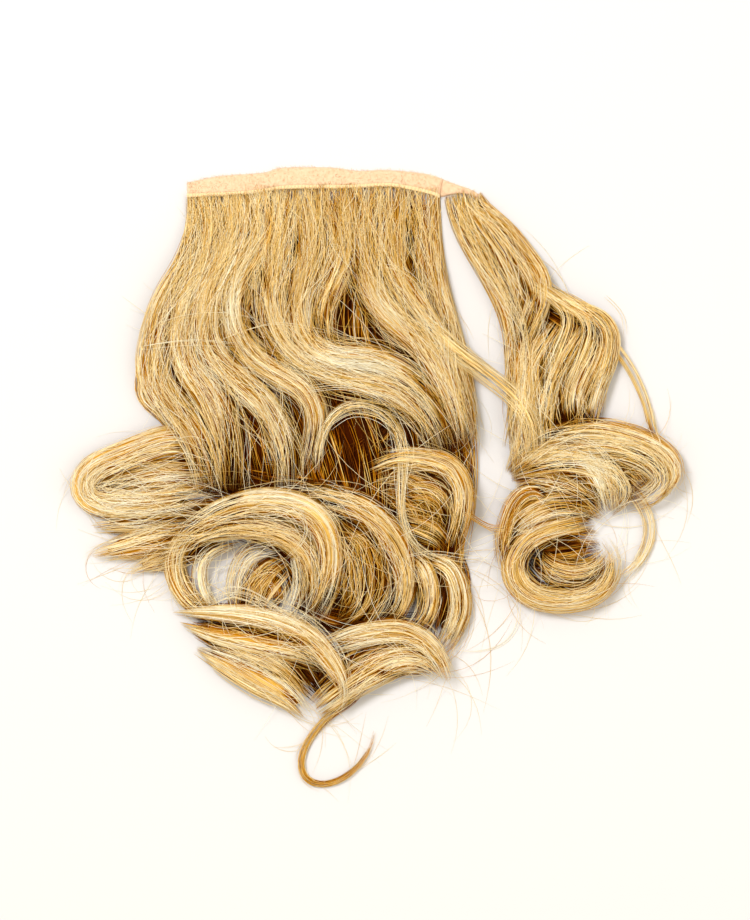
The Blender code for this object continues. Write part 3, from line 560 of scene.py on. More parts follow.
# Hairs that lie across a patch of the hair: how many, round which place and how far, their
# lengths, heading in degrees, how it strays and their curl, both in radians, and tone.
Tangle = namedtuple("Tangle", "count middle reach lengths heading stray curl tone")
TANGLES = (
    Tangle(70, (0, -34), (66, 20), (30, 80), -80, 0.35, 0.7, 0.80),
    Tangle(22, (-50, -85), (42, 40), (40, 110), -60, 0.6, 1.0, 0.88),
    Tangle(22, (45, -95), (40, 30), (40, 110), -45, 0.4, 1.0, 0.86),
    Tangle(6, (22, -146), (22, 14), (50, 90), -60, 0.3, 1.4, 0.60),
    Tangle(8, (-30, -155), (30, 20), (40, 90), -80, 0.5, 1.2, 0.84),
    Tangle(16, (-100, -180), (34, 20), (40, 100), 0, 0.4, 1.6, 0.90),
    Tangle(16, (-30, -215), (46, 34), (60, 140), 20, 1.4, 2.4, 0.84),
    Tangle(16, (-50, -226), (14, 14), (30, 60), 50, 0.7, 1.5, 0.90),
    Tangle(14, (50, -205), (36, 40), (60, 130), -60, 0.8, 2.0, 0.82),
    Tangle(18, (0, -265), (60, 20), (50, 120), -10, 0.6, 1.8, 0.90),
    Tangle(18, (120, -90), (28, 44), (30, 90), -75, 0.5, 1.0, 0.84),
    Tangle(24, (145, -185), (34, 38), (50, 120), -30, 1.1, 2.6, 0.88),
)
TANGLE_THICK = 0.27
TANGLE_STATIONS = 13

# Single hairs at the sides of locks: how many, at which side, between which shares of the
# lock's length, their lengths and how far they curl. They root this far out in the lock.
WISP_WIDE = 0.18
WISP_STATIONS = 11
WISP_ROOT = 0.55
WISPS = (
    ("left_outer", 12, (-1,), 0.1, 0.7, (12, 35), 0.9),
    ("left_loop", 22, (-1, 1), 0.1, 0.9, (20, 60), 1.4),
    ("tip_middle", 16, (-1, 1), 0.1, 0.9, (15, 50), 1.0),
    ("tip_lower", 18, (-1, 1), 0.1, 0.9, (15, 60), 1.2),
    ("ringlet_left", 26, (-1, 1), 0.0, 0.9, (20, 70), 1.6),
    ("ringlet_outer", 30, (-1, 1), 0.0, 0.9, (20, 80), 1.8),
    ("ringlet_inner", 26, (1,), 0.0, 0.9, (20, 60), 1.8),
    ("bottom_left", 26, (-1, 1), 0.1, 0.95, (20, 70), 1.2),
    ("bottom_right", 26, (-1, 1), 0.0, 0.95, (20, 70), 1.2),
    ("upper_swoop", 14, (-1, 1), 0.1, 0.9, (20, 60), 1.0),
    ("arc_rim", 22, (-1,), 0.0, 0.9, (20, 80), 1.4),
    ("hollow_ring", 22, (-1, 1), 0.1, 0.9, (15, 50), 1.8),
    ("right_edge", 60, (-1,), 0.1, 0.95, (15, 50), 1.8),
    ("wrap_left", 60, (1,), 0.1, 0.95, (15, 45), 1.8),
    ("wrap_outer", 12, (-1,), 0.1, 0.8, (15, 45), 1.0),
    ("fold_outer", 12, (-1,), 0.0, 0.9, (15, 45), 1.0),
    ("curl_crown", 26, (-1, 1), 0.1, 0.95, (20, 60), 1.6),
    ("curl_ring", 34, (-1, 1), 0.0, 0.95, (20, 70), 1.8),
    ("outer_curl", 16, (-1, 1), 0.1, 0.9, (20, 50), 1.2),
    ("stray_loop", 10, (-1, 1), 0.2, 0.9, (15, 45), 1.0),
)


def smooth_line(places, step):
    """Points evenly spaced, about a step apart, on one smooth curve through the places."""
    places = np.array(places, float)
    padded = np.vstack([2 * places[0] - places[1], places, 2 * places[-1] - places[-2]])
    share = np.linspace(0, 1, SPLINE_CUTS, endpoint=False)[:, None]
    spans = []
    for before, start, end, after in zip(padded, padded[1:], padded[2:], padded[3:]):
        cubic = 3 * (start - end) + after - before
        square = 2 * before - 5 * start + 4 * end - after
        spans.append(start + 0.5 * share * (end - before + share * (square + share * cubic)))
    line = np.vstack([*spans, places[-1]])
    along = np.concatenate([[0], np.cumsum(np.linalg.norm(np.diff(line, axis=0), axis=1))])
    even = np.linspace(0, along[-1], max(3, round(along[-1] / step)) + 1)
    return np.column_stack([np.interp(even, along, line[:, axis]) for axis in (0, 1)])


def widths_along(lock, count):
    """The lock's width at evenly spaced points, eased from root to belly to tip."""
    share = np.linspace(0, 1, count)
    ends = lock.root + (lock.tip - lock.root) * share
    return ends + (lock.belly - (lock.root + lock.tip) / 2) * np.sin(np.pi * share)


def thicknesses_along(lock, wide, distance):
    """The lock's thickness, thin where it is narrow and where it leaves the weft."""
    thick = lock.thick * np.sqrt(np.minimum(1, wide / lock.belly))
    if lock.route[0][1] > WEFT_REACH:
        thick = np.minimum(thick, ROOT_THICK + (lock.thick - ROOT_THICK) * distance / ROOT_RAMP)
    return thick


class Pile:
    """Heights of the hair already laid, on a grid over the table."""

    def __init__(self):
        across = np.arange(GRID_LOW[0], GRID_HIGH[0], CELL)
        up = np.arange(GRID_LOW[1], GRID_HIGH[1], CELL)
        self.x, self.y = np.meshgrid(across, up, indexing="ij")
        self.height = np.zeros_like(self.x)

    def window(self, place, reach):
        """The cells round a place: a slice each way, and their distances from it."""
        low = [max(0, int((place[axis] - reach - GRID_LOW[axis]) / CELL)) for axis in (0, 1)]
        high = [int((place[axis] + reach - GRID_LOW[axis]) / CELL) + 2 for axis in (0, 1)]
        cells = (slice(low[0], high[0]), slice(low[1], high[1]))
        return cells, np.hypot(self.x[cells] - place[0], self.y[cells] - place[1])

    def support(self, place, reach):
        """The height that a lock rests on at a place."""
        cells, away = self.window(place, reach)
        return np.quantile(self.height[cells][away <= max(reach, CELL)], SUPPORT_SHARE)

    def add(self, place, reach, base, thick):
        """Raises the cells that a lock covers at a place."""
        cells, away = self.window(place, reach)
        crown = base + thick * (1 - CROWN_FALL * (away / reach) ** 2)
        laid = np.where(away <= reach, crown, 0)
        self.height[cells] = np.maximum(self.height[cells], laid)


def drape(heights):
    """Heights evened out along a lock, which can't follow a sharp step."""
    reach = math.ceil(DRAPE_TAILS * DRAPE / FINE_STEP)
    weights = np.exp(-0.5 * (np.arange(-reach, reach + 1) * FINE_STEP / DRAPE) ** 2)
    padded = np.pad(heights, reach, mode="edge")
    return np.convolve(padded, weights / weights.sum(), mode="valid")


def lay(locks):
    """For each lock its fine centre line, widths, thicknesses and the heights of its underside."""
    pile = Pile()
    laid = []
    for index, lock in enumerate(locks):
        line = smooth_line(lock.route, FINE_STEP)
        wide = widths_along(lock, len(line))
        thick = thicknesses_along(lock, wide, np.arange(len(line)) * FINE_STEP)
        support = [pile.support(place, w * SUPPORT_REACH) for place, w in zip(line, wide)]
        base = np.maximum(drape(np.array(support)) - SINK * thick, 0)
        base += FLOOR_SEPARATION * (1 + index % FLOOR_STEPS)
        for place, w, low, tall in zip(line, wide, base, thick):
            pile.add(place, w / 2, low, tall)
        laid.append((line, wide, thick, base))
    return laid


# Strands along a lock


def wander(count, marks, length):
    """Smooth random wandering of unit size along each of some strands."""
    knots = max(3, round(length / KNOT_EVERY) + 2)
    centres = np.linspace(-0.1, 1.1, knots)
    bumps = np.exp(-0.5 * ((marks[:, None] - centres) * knots / 1.2) ** 2)
    bumps /= np.linalg.norm(bumps, axis=1, keepdims=True)
    return dice.normal(size=(count, knots)) @ bumps.T


def strand_marks(line):
    """Shares of a lock's length at which its strands have stations: closer in its bends."""
    heading = np.unwrap(np.arctan2(*np.diff(line, axis=0).T[::-1]))
    turn = np.concatenate([[0], np.abs(np.diff(heading)), [0]])
    need = np.cumsum(FINE_STEP / STRAND_STRAIGHT + turn / STRAND_TURN)
    need = (need - need[0]) / (need[-1] - need[0])
    count = max(5, math.ceil(len(line) * FINE_STEP / STRAND_STRAIGHT + turn.sum() / STRAND_TURN))
    return np.interp(np.linspace(0, 1, count + 1), need, np.linspace(0, 1, len(line)))


class LaidLock:
    """A lock as it lies, read at any share of its length."""

    def __init__(self, lock, line, wide, thick, base):
        self.lock = lock
        self.from_weft = lock.route[0][1] > WEFT_REACH
        lead = ROOT_LEAD if self.from_weft else 0
        fine = smooth_line(lock.route, STRAND_STEP)
        length = STRAND_STEP * (len(fine) - 1)
        self.length = length + lead
        self.marks = strand_marks(line)
        self.even = (lead + np.linspace(0, length, len(line))) / self.length
        self.wide, self.thick, self.base = wide, thick, base
        places = (lead + np.linspace(0, length, len(fine))) / self.length
        ahead = np.gradient(fine, axis=0)
        ahead /= np.linalg.norm(ahead, axis=1)[:, None]
        self.side = np.column_stack([ahead[:, 1], -ahead[:, 0]])
        self.side_even = places
        if lead:
            fine = np.vstack([fine[0] + (0, lead), fine])
            places = np.concatenate([[0], places])
        self.fine, self.fine_even = fine, places

    def at(self, share, across):
        """Places at a share of the length and a share of the half width, and the lock's width,
        thickness and underside there."""
        centre = [np.interp(share, self.fine_even, self.fine[:, axis]) for axis in (0, 1)]
        side = [np.interp(share, self.side_even, self.side[:, axis]) for axis in (0, 1)]
        wide, thick, base = [
            np.interp(share, self.even, values) for values in (self.wide, self.thick, self.base)]
        place = [c + s * across * wide / 2 for c, s in zip(centre, side)]
        return np.stack(place, axis=-1), wide, thick, base

    def standing(self, share):
        """1 where the lock stands at its height, less at ends that go in under other hair."""
        start = 1 if self.from_weft else share * self.length / END_DIVE
        end = 1 if self.lock.name in FREE_TIPS else (1 - share) * self.length / END_DIVE
        level = np.clip(np.minimum(start, end), 0, 1)
        return 0.1 + 0.9 * level * level * (3 - 2 * level)


Strands = namedtuple("Strands", "paths radius shade")


def eased_paths(paths):
    """Paths with their kinks taken off."""
    inner = paths[:, :-2] / 4 + paths[:, 1:-1] / 2 + paths[:, 2:] / 4
    return np.concatenate([paths[:, :1], inner, paths[:, -1:]], axis=1)


def tapered(count, marks, thickness, root=0.03, tip=0.14):
    """The radius along each strand, drawn in over shares of its length at its root and tip."""
    ends = np.clip(np.minimum(marks / root, (1 - marks) / tip), 0.12, 1) ** 0.7
    return thickness[:, None] / 2 * ends * np.ones((count, 1))


def resting(place, height, low):
    """Paths at some heights, eased and kept above the table."""
    paths = eased_paths(eased_paths(np.concatenate([place, height[..., None]], axis=-1)))
    paths[..., 2] = np.maximum(paths[..., 2], low)
    return paths


def clumped(laid, look, count):
    """Where strands run across a lock, in shares of its half width, most of them in clumps, with
    the rise and the tone that their clump gives them, and which of them lie loose."""
    marks = laid.marks
    clumps = max(2, round(float(laid.wide.mean()) / CLUMP_WIDE))
    centres = np.linspace(-CLUMP_SPAN, CLUMP_SPAN, clumps)[:, None]
    centres = centres + CLUMP_SWAY * wander(clumps, marks, laid.length)
    halves = 1.15 / clumps * (1 + 0.30 * wander(clumps, marks, laid.length))
    halves = np.clip(halves, 0.45 / clumps, 1.9 / clumps)
    rises = CLUMP_RISE * dice.uniform(0.2, 1.2, clumps)
    tones = dice.normal(0, CLUMP_TONE, clumps)

    home = dice.integers(0, clumps, count)
    offset = dice.uniform(-1, 1, count)[:, None]
    offset = offset + STRAND_SWAY * wander(count, marks, laid.length)
    loose = dice.uniform(size=count) < look.loose
    across = centres[home] + offset * halves[home]
    astray = dice.uniform(-LOOSE_SPAN, LOOSE_SPAN, count)[:, None]
    astray = astray + STRAND_SWAY * wander(count, marks, laid.length)
    across = np.clip(np.where(loose[:, None], astray, across), -STRAND_SPAN, STRAND_SPAN)
    rise = np.where(loose[:, None], 0.5, rises[home][:, None] * (1 - np.clip(offset, -1, 1) ** 2))
    return across, rise, np.where(loose, LOOSE_PALER, tones[home])


def shares_along(laid, across):
    """The shares of a lock's length at which each of its strands has its stations. Strands start
    and end one by one, so that the lock's ends thin out, and free ends are rounded."""
    count = len(across)
    free = laid.lock.name in FREE_TIPS
    start_spread = RAGGED_SPREAD if laid.lock.name in RAGGED_STARTS else START_SPREAD
    if laid.from_weft:
        start_spread = WEFT_SPREAD
    tip_spread, power = FREE_SPREAD if free else TIP_SPREAD
    round_off = ROUND_END / laid.length * np.clip(np.abs(across), 0, 1) ** 2
    first = start_spread * dice.uniform(0, 1, count)
    last = 1 - tip_spread * dice.uniform(0, 1, count) ** power
    if free:
        last -= round_off[:, -1]
    if laid.lock.name in FREE_STARTS:
        first += round_off[:, 0]
    return first[:, None] + (last - first)[:, None] * laid.marks


def covering_strands(laid, look):
    """The strands that make up a lock: most in clumps over its crown, some loose, a few round
    its sides and its underside."""
    single = DEPTH_WIDE if laid.lock.name.startswith(("under", "fill")) else STRAND_WIDE
    count = max(7, round(look.cover * float(laid.wide.mean()) / single))
    across, rise, tone = clumped(laid, look, count)
    share = shares_along(laid, across)
    place, wide, thick, base = laid.at(share, across)

    depth = STRAND_DEPTH * dice.uniform(0, 1, count) ** 1.6
    up = np.interp(np.abs(across), CROWN_ACROSS, CROWN_UP)
    height = base + thick * up + (rise - depth[:, None] - 0.3) * np.minimum(1, thick / 6)

    below = dice.uniform(size=count) < BELOW_SHARE
    height = np.where(below[:, None], base + 0.35 + 0.1 * depth[:, None], height)
    rim = dice.uniform(size=count) < RIM_SHARE
    rim_across = np.sign(across[:, :1]) * (0.90 + 0.05 * dice.uniform(-1, 1, count)[:, None])
    rim_place = laid.at(share, rim_across * np.ones_like(across))[0]
    rim_height = base + thick * dice.uniform(0.08, 0.4, count)[:, None]
    place = np.where(rim[:, None, None], rim_place, place)
    height = np.where(rim[:, None], rim_height, height)
    along = share * laid.length
    if laid.from_weft:
        height = np.minimum(height, ROOT_HEIGHT + ROOT_SLOPE * along - 1.3 * depth[:, None])

    low = base + STRAND_FLOOR
    height = low + (height - low) * laid.standing(share)
    paths = eased_paths(np.concatenate([place, height[..., None]], axis=-1))
    paths[..., 2] = np.maximum(paths[..., 2], STRAND_FLOOR)
    thickness = single * dice.uniform(0.72, 1.25, count)
    radius = tapered(count, laid.marks, thickness)
    # Painted light on the rim strands, and painted shade on the strands that lie deeper.
    shade = look.tone + PALER + np.where(rim, RIM_PAINTED_LIGHT, 0) + tone
    shade = (shade + dice.normal(0, STRAND_TONE, count) - DEPTH_PAINTED_SHADE * depth)[:, None]
    shade = shade + ALONG_TONE * wander(count, laid.marks, laid.length)
    if laid.from_weft:
        shade = shade - ROOT_SHADE * np.clip(1 - along / ROOT_FADE, 0, 1)
    return Strands(paths, radius, shade)


# Heights of the finished hair


class Skyline:
    """The height of the uppermost strand over a grid, evened out closely and widely, and how far
    strands cover the table there. MARGIN is the number of cells added at each side."""

    STEP = 1.5
    MARGIN = 12
    CLOSE = 1.5
    WIDE = 5.0
    COVER = 3.5

    def __init__(self, groups):
        size = [
            int((high - low) / self.STEP) + 2 * self.MARGIN
            for low, high in zip(GRID_LOW, GRID_HIGH)]
        self.low = np.array(GRID_LOW) - self.MARGIN * self.STEP
        top = np.zeros(size)
        for strands in groups:
            starts, ends = strands.paths[:, :-1], strands.paths[:, 1:]
            for share in np.linspace(0, 1, 6, endpoint=False):
                points = (starts + (ends - starts) * share).reshape(-1, 3)
                cells = ((points[:, :2] - self.low) / self.STEP).astype(int)
                cells = np.clip(cells, 0, np.array(size) - 1)
                np.maximum.at(top, (cells[:, 0], cells[:, 1]), points[:, 2])
        self.top = self.evened(top, self.CLOSE)
        self.wide_top = self.evened(top, self.WIDE)
        self.cover = self.evened((top > 0.5).astype(float), self.COVER)

    def evened(self, heights, spread):
        """Heights blurred over a spread."""
        reach = math.ceil(2.5 * spread / self.STEP)
        weights = np.exp(-0.5 * (np.arange(-reach, reach + 1) * self.STEP / spread) ** 2)
        weights /= weights.sum()
        for axis in (0, 1):
            heights = np.apply_along_axis(np.convolve, axis, heights, weights, mode="same")
        return heights

    def over(self, places):
        """A height that clears the hair, and bridges its narrow gaps."""
        return np.maximum(self.read(self.top, places), self.read(self.wide_top, places) - 0.5)

    def read(self, heights, places):
        """The heights at some places, read between the four cells round each."""
        cells = (places - self.low) / self.STEP - 0.5
        whole = np.clip(np.floor(cells).astype(int), 0, np.array(heights.shape) - 2)
        part = np.clip(cells - whole, 0, 1)
        x, y = whole[..., 0], whole[..., 1]
        px, py = part[..., 0], part[..., 1]
        near = heights[x, y] * (1 - px) + heights[x + 1, y] * px
        far = heights[x, y + 1] * (1 - px) + heights[x + 1, y + 1] * px
        return near * (1 - py) + far * py


# Meshes of strands and of cores


def tube_corners(strands):
    """The three corners round each station of some strands, and their coordinates: length along
    U, from a random start, and shade along V."""
    paths, radius, shade = strands
    ahead = np.gradient(paths, axis=1)
    ahead /= np.linalg.norm(ahead, axis=-1, keepdims=True) + 1e-9
    side = np.stack([ahead[..., 1], -ahead[..., 0], np.zeros_like(ahead[..., 0])], axis=-1)
    side /= np.linalg.norm(side, axis=-1, keepdims=True) + 1e-9
    lift = np.cross(side, ahead)
    steps = np.linalg.norm(np.diff(paths, axis=1), axis=-1)
    along = np.concatenate([np.zeros((len(paths), 1)), np.cumsum(steps, axis=1)], axis=1)
    room = np.maximum(1, UV_SPAN - 2 * UV_EDGE - along[:, -1])
    along = UV_EDGE + along + (dice.uniform(size=len(paths)) * room)[:, None]
    corners, coords = [], []
    for corner in range(3):
        turn = math.radians(90 + 120 * corner)
        spoke = math.cos(turn) * side + math.sin(turn) * lift
        corners.append(paths + radius[..., None] * spoke)
        v = np.clip(shade + SIDE_SHADE * (corner - 1), 0.01, 0.99)
        coords.append(np.stack([along / UV_SPAN, v], axis=-1))
    return np.stack(corners, axis=2), np.stack(coords, axis=2)


def tube_mesh(name, groups):
    """One mesh of many strands: thin three-sided tubes, closed at both ends."""
    points, quads, caps, coords = [], [], [], []
    first = 0
    for strands in groups:
        corners, uvs = tube_corners(strands)
        points.append(corners.reshape(-1, 3))
        coords.append(uvs.reshape(-1, 2))
        index = first + np.arange(corners.size // 3).reshape(corners.shape[:3])
        near, far = index[:, :-1], index[:, 1:]
        turned = [np.roll(ring, -1, axis=2) for ring in (near, far)]
        quads.append(np.stack([near, far, turned[1], turned[0]], axis=-1).reshape(-1, 4))
        caps += [index[:, 0], index[:, -1, ::-1]]
        first += index.size
    points, quads = np.concatenate(points) * MM, np.concatenate(quads)
    caps, coords = np.concatenate(caps), np.concatenate(coords)
    corners = np.concatenate([quads.ravel(), caps.ravel()])
    sizes = np.concatenate([np.full(len(quads), 4), np.full(len(caps), 3)])
    starts = np.concatenate([[0], np.cumsum(sizes)[:-1]])
    mesh = bpy.data.meshes.new(name)
    mesh.vertices.add(len(points))
    mesh.vertices.foreach_set("co", points.astype(np.float32).ravel())
    mesh.loops.add(len(corners))
    mesh.loops.foreach_set("vertex_index", corners.astype(np.int32))
    mesh.polygons.add(len(sizes))
    mesh.polygons.foreach_set("loop_start", starts.astype(np.int32))
    uv = mesh.uv_layers.new(name="OFBake")
    uv.data.foreach_set("uv", coords[corners].astype(np.float32).ravel())
    mesh.update(calc_edges=True)
    mesh.shade_smooth()
    return mesh


def shown(name, mesh, look, slot, *nodes):
    """A finished piece in the scene: its material, body and the nodes it stands for. The slot is
    not used.
    """
    piece = bpy.data.objects.new(name, mesh)
    bpy.context.scene.collection.objects.link(piece)
    mesh.materials.clear()
    mesh.materials.append(look)
    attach(piece, "root")
    if nodes:
        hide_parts(*nodes)
    return piece


def core_mesh(name, all_laid, skyline):
    """The inner bodies of the locks: an oval drawn along each lock, a little inside it."""
    whole = bmesh.new()
    whole.loops.layers.uv.new("lengthwise")
    whole.verts.layers.float.new("shade")
    for laid in all_laid:
        if laid.lock.thick > CORE_LEAST and laid.lock.name not in CORELESS:
            draw_core(whole, laid, skyline)
    bmesh.ops.scale(whole, vec=(MM, MM, MM), verts=whole.verts)
    mesh = bpy.data.meshes.new(name)
    whole.to_mesh(mesh)
    whole.free()
    mesh.shade_smooth()
    return mesh


def draw_core(whole, laid, skyline):
    """Draws an oval along the lock, one ring after another, and adds it to the whole."""
    body = bmesh.new()
    run = body.verts.layers.float.new("run")
    across = body.verts.layers.float.new("across")
    begin = CORE_RAGGED_START if laid.lock.name in RAGGED_STARTS else CORE_START
    if laid.from_weft:
        begin = 0
    finish = CORE_FREE_END if laid.lock.name in FREE_TIPS else CORE_END
    marks = laid.marks[1:-1]
    marks = marks[(marks > begin) & (marks < finish)]
    places, _, thick, base = laid.at(marks, np.zeros_like(marks))
    sides = laid.at(marks, np.ones_like(marks))[0] - places
    level = laid.standing(marks)
    room = np.minimum(marks - begin + (0.1 if laid.from_weft else 0), finish - marks)
    ends = np.clip(room * laid.length / CORE_TAPER, 0.1, 1) ** 0.7 * (0.3 + 0.7 * level)
    dips = HOLLOW_DROP * np.clip(parting(places), 0, 1)
    ring = bmesh.ops.create_circle(body, cap_ends=True, segments=CORE_SIDES, radius=1)["verts"]
    for vert in ring:
        vert[across] = vert.co.x
    lain = Matrix.Identity(4)
    for at, (place, side) in enumerate(zip(places, sides)):
        if at:
            rim = [edge for edge in body.edges if edge.is_boundary]
            made = bmesh.ops.extrude_edge_only(body, edges=rim)["geom"]
            ring = [part for part in made if isinstance(part, bmesh.types.BMVert)]
        tall = max(0.15, (thick[at] * level[at] - CORE_COVER - dips[at]) / 2) * ends[at]
        broad = CORE_SHARE * ends[at]
        out = Vector((*(side * broad), 0))
        rise = Vector((0, 0, tall))
        ahead = rise.cross(out).normalized()
        turned = Matrix((out, rise, ahead)).transposed().to_4x4()
        turned.translation = Vector((*place, base[at] + CORE_LIFT + tall))
        bmesh.ops.transform(body, matrix=turned @ lain.inverted(), verts=ring)
        lain = turned
        for vert in ring:
            vert[run] = float(marks[at])
    bmesh.ops.holes_fill(body, edges=[edge for edge in body.edges if edge.is_boundary])
    bmesh.ops.recalc_face_normals(body, faces=body.faces)
    shade = body.verts.layers.float.new("shade")
    spots = np.array([vert.co for vert in body.verts])
    # The core's colour: painted shade below its lock's strands, with more painted shade where the
    # hair parts and where it lies below the hair round it, and a painted highlight on crests.
    tones = LOOKS[laid.lock.name].tone - CORE_PAINTED_SHADE
    tones = tones - PARTING_PAINTED_SHADE * parting(spots) - painted_occlusion_shade(spots, skyline)
    for vert, tone in zip(body.verts, tones):
        vert[shade] = max(tone, CORE_DARKEST)
    uv = body.loops.layers.uv.new("lengthwise")
    phase = dice.uniform(0, 1)
    for face in body.faces:
        for loop in face.loops:
            length = loop.vert[run] * laid.length / UV_SPAN
            loop[uv].uv = (phase + length, phase + loop.vert[across] * laid.lock.belly / UV_SPAN)
    part = bpy.data.meshes.new("lock_core")
    body.to_mesh(part)
    body.free()
    whole.from_mesh(part)
    bpy.data.meshes.remove(part)


# The tape, its tab and its binding


def edge_length(edge):
    return np.linalg.norm(np.diff(smooth_line(edge, EDGE_STEP), axis=0), axis=1).sum()


def edge_point(edge, share):
    """The place at a share of an edge's length."""
    line = smooth_line(edge, EDGE_STEP)
    even = np.linspace(0, 1, len(line))
    return np.stack([np.interp(share, even, line[:, axis]) for axis in (0, 1)], axis=-1)


def band_mesh(name, top_edge, low_edge, cuts, rows, surface):
    """A closed flat band between two edges. Its upper side has the height that surface gives
    for the shares along and across it and the place."""
    body = bmesh.new()
    bmesh.ops.create_grid(body, x_segments=cuts, y_segments=rows, size=1)
    made = bmesh.ops.extrude_face_region(body, geom=list(body.faces))["geom"]
    raised = {part for part in made if isinstance(part, bmesh.types.BMVert)}
    verts = list(body.verts)
    along = np.array([(vert.co.x + 1) / 2 for vert in verts])
    across = np.array([(vert.co.y + 1) / 2 for vert in verts])
    low, top = edge_point(low_edge, along), edge_point(top_edge, along)
    places = low + (top - low) * across[:, None]
    floor, heights = surface(along, across, places)
    for vert, place, height in zip(verts, places, heights):
        vert.co = Vector((*place, height if vert in raised else floor)) * MM
    bmesh.ops.recalc_face_normals(body, faces=body.faces)
    uv = body.loops.layers.uv.new("OFBake")
    for face in body.faces:
        for loop in face.loops:
            place = loop.vert.co / MM
            loop[uv].uv = ((place.x + 100) / UV_SPAN, (place.y + 40) / UV_SPAN)
    mesh = bpy.data.meshes.new(name)
    body.to_mesh(mesh)
    body.free()
    mesh.shade_smooth()
    return mesh


def rounded(share, sharpness):
    """1 over the middle of a band, falling to 0 at both its edges."""
    return 1 - np.abs(2 * share - 1) ** sharpness


def ripple(places, size):
    """Soft unevenness from -1 to 1, with hollows of about that size."""
    return np.array([noise.noise((x / size, y / size, 0.3)) for x, y in places])


def tape_surface(thick):
    """The floor and heights of brushed cloth: flat, uneven, and rounded at its edges."""
    def surface(along, across, places):
        edges = rounded(across, 8) ** 0.5 * rounded(along, 60) ** 0.5
        uneven = 0.16 * ripple(places, 7) + 0.07 * ripple(places, 1.6)
        return 0.05, 0.4 + (thick - 0.5) * edges + uneven
    return surface


def rib_surface(along, across, places):
    """The binding's back: a round rib, drawn in where the slanting stitches cross it."""
    length = along * edge_length(TAPE_LOW_EDGE)
    stitch = np.cos(2 * math.pi * (length / STITCH_PITCH + 0.45 * across))
    back = rounded(across, 2.4) ** 0.6
    return RIB_LOW, RIB_LOW + 0.12 + (BINDING_THICK - 0.22) * back * (0.86 + 0.14 * stitch)


def beside(edge, above):
    """The same edge, some way above."""
    return tuple((x, y + above) for x, y in edge)


def pile_loops(top_edge, low_edge, thick, count):
    """The tape's nap: small loops of fibre, most lying over, thickest along its edges."""
    along = dice.uniform(0.003, 0.997, count)
    across = dice.uniform(0.02, 0.98, count)
    rim = dice.uniform(size=count) < EDGE_LOOPS
    across = np.where(rim, np.round(across), across)
    low, top = edge_point(low_edge, along), edge_point(top_edge, along)
    root = low + (top - low) * across[:, None]
    heading = dice.uniform(0, 2 * math.pi, count)
    heading = np.where(rim & (across > 0.5), dice.uniform(0.15, 0.85, count) * math.pi, heading)
    reach = dice.uniform(0.5, 1.5, count) * np.where(rim, 0.8, 1)
    rise = dice.uniform(0.2, 0.7, count)
    ahead = np.column_stack([np.cos(heading), np.sin(heading)])
    aside = np.column_stack([-ahead[:, 1], ahead[:, 0]]) * dice.normal(0, 0.25, count)[:, None]
    paths = np.zeros((count, len(LOOP_STATIONS), 3))
    for station, (out, up, bow) in enumerate(LOOP_STATIONS):
        paths[:, station, :2] = root + ahead * (out * reach)[:, None] + aside * bow
        paths[:, station, 2] = np.where(rim, thick * 0.55, thick - 0.25) + up * rise
    each = np.ones((1, len(LOOP_STATIONS)))
    radius = dice.uniform(0.05, 0.085, count)[:, None] * each
    shade = dice.uniform(0.25, 0.95, count)[:, None] * each
    return Strands(paths, radius, shade)


def binding_stitches():
    """The sewing thread over the binding: slanting stitches, one after another."""
    count = int(edge_length(TAPE_LOW_EDGE) / STITCH_PITCH) - 1
    share = (np.arange(count) + 0.5) / count
    step = STITCH_SLANT / count
    stations = np.linspace(0, 1, STITCH_STATIONS)
    paths = np.zeros((count, len(stations), 3))
    for at, across in enumerate(stations):
        place = edge_point(TAPE_LOW_EDGE, share + step * (across - 0.5))
        rise = BINDING_WIDE * (across - 0.5) * 0.92 + BINDING_OVERHANG
        paths[:, at, :2] = place + (0, rise)
        paths[:, at, 2] = RIB_LOW + 0.35 + 0.75 * rounded(across, 2.2) ** 0.6
    paths[..., 2] += dice.uniform(-0.05, 0.05, (count, 1))
    radius = np.full((count, len(stations)), THREAD_RADIUS)
    shade = dice.uniform(0.5, 0.95, (count, 1)) * np.ones((1, len(stations)))
    return Strands(paths, radius, shade)


# Fine strands that lie across the locks


def bridged(heights):
    """Heights along strands that reach from one crest to the next without a dip between."""
    beside_them = np.pad(heights, ((0, 0), (1, 1)), mode="edge")
    crests = np.maximum(heights, np.maximum(beside_them[:, :-2], beside_them[:, 2:]))
    return 0.5 * (heights + crests)


def kept_in(strands):
    """The strands that stay near the solid part's own box, and below the binding."""
    paths = strands.paths[..., :2]
    stay = np.all((paths > GRID_LOW) & (paths < (GRID_HIGH[0], HAIR_TOP)), axis=(1, 2))
    return Strands(*(values[stay] for values in strands))


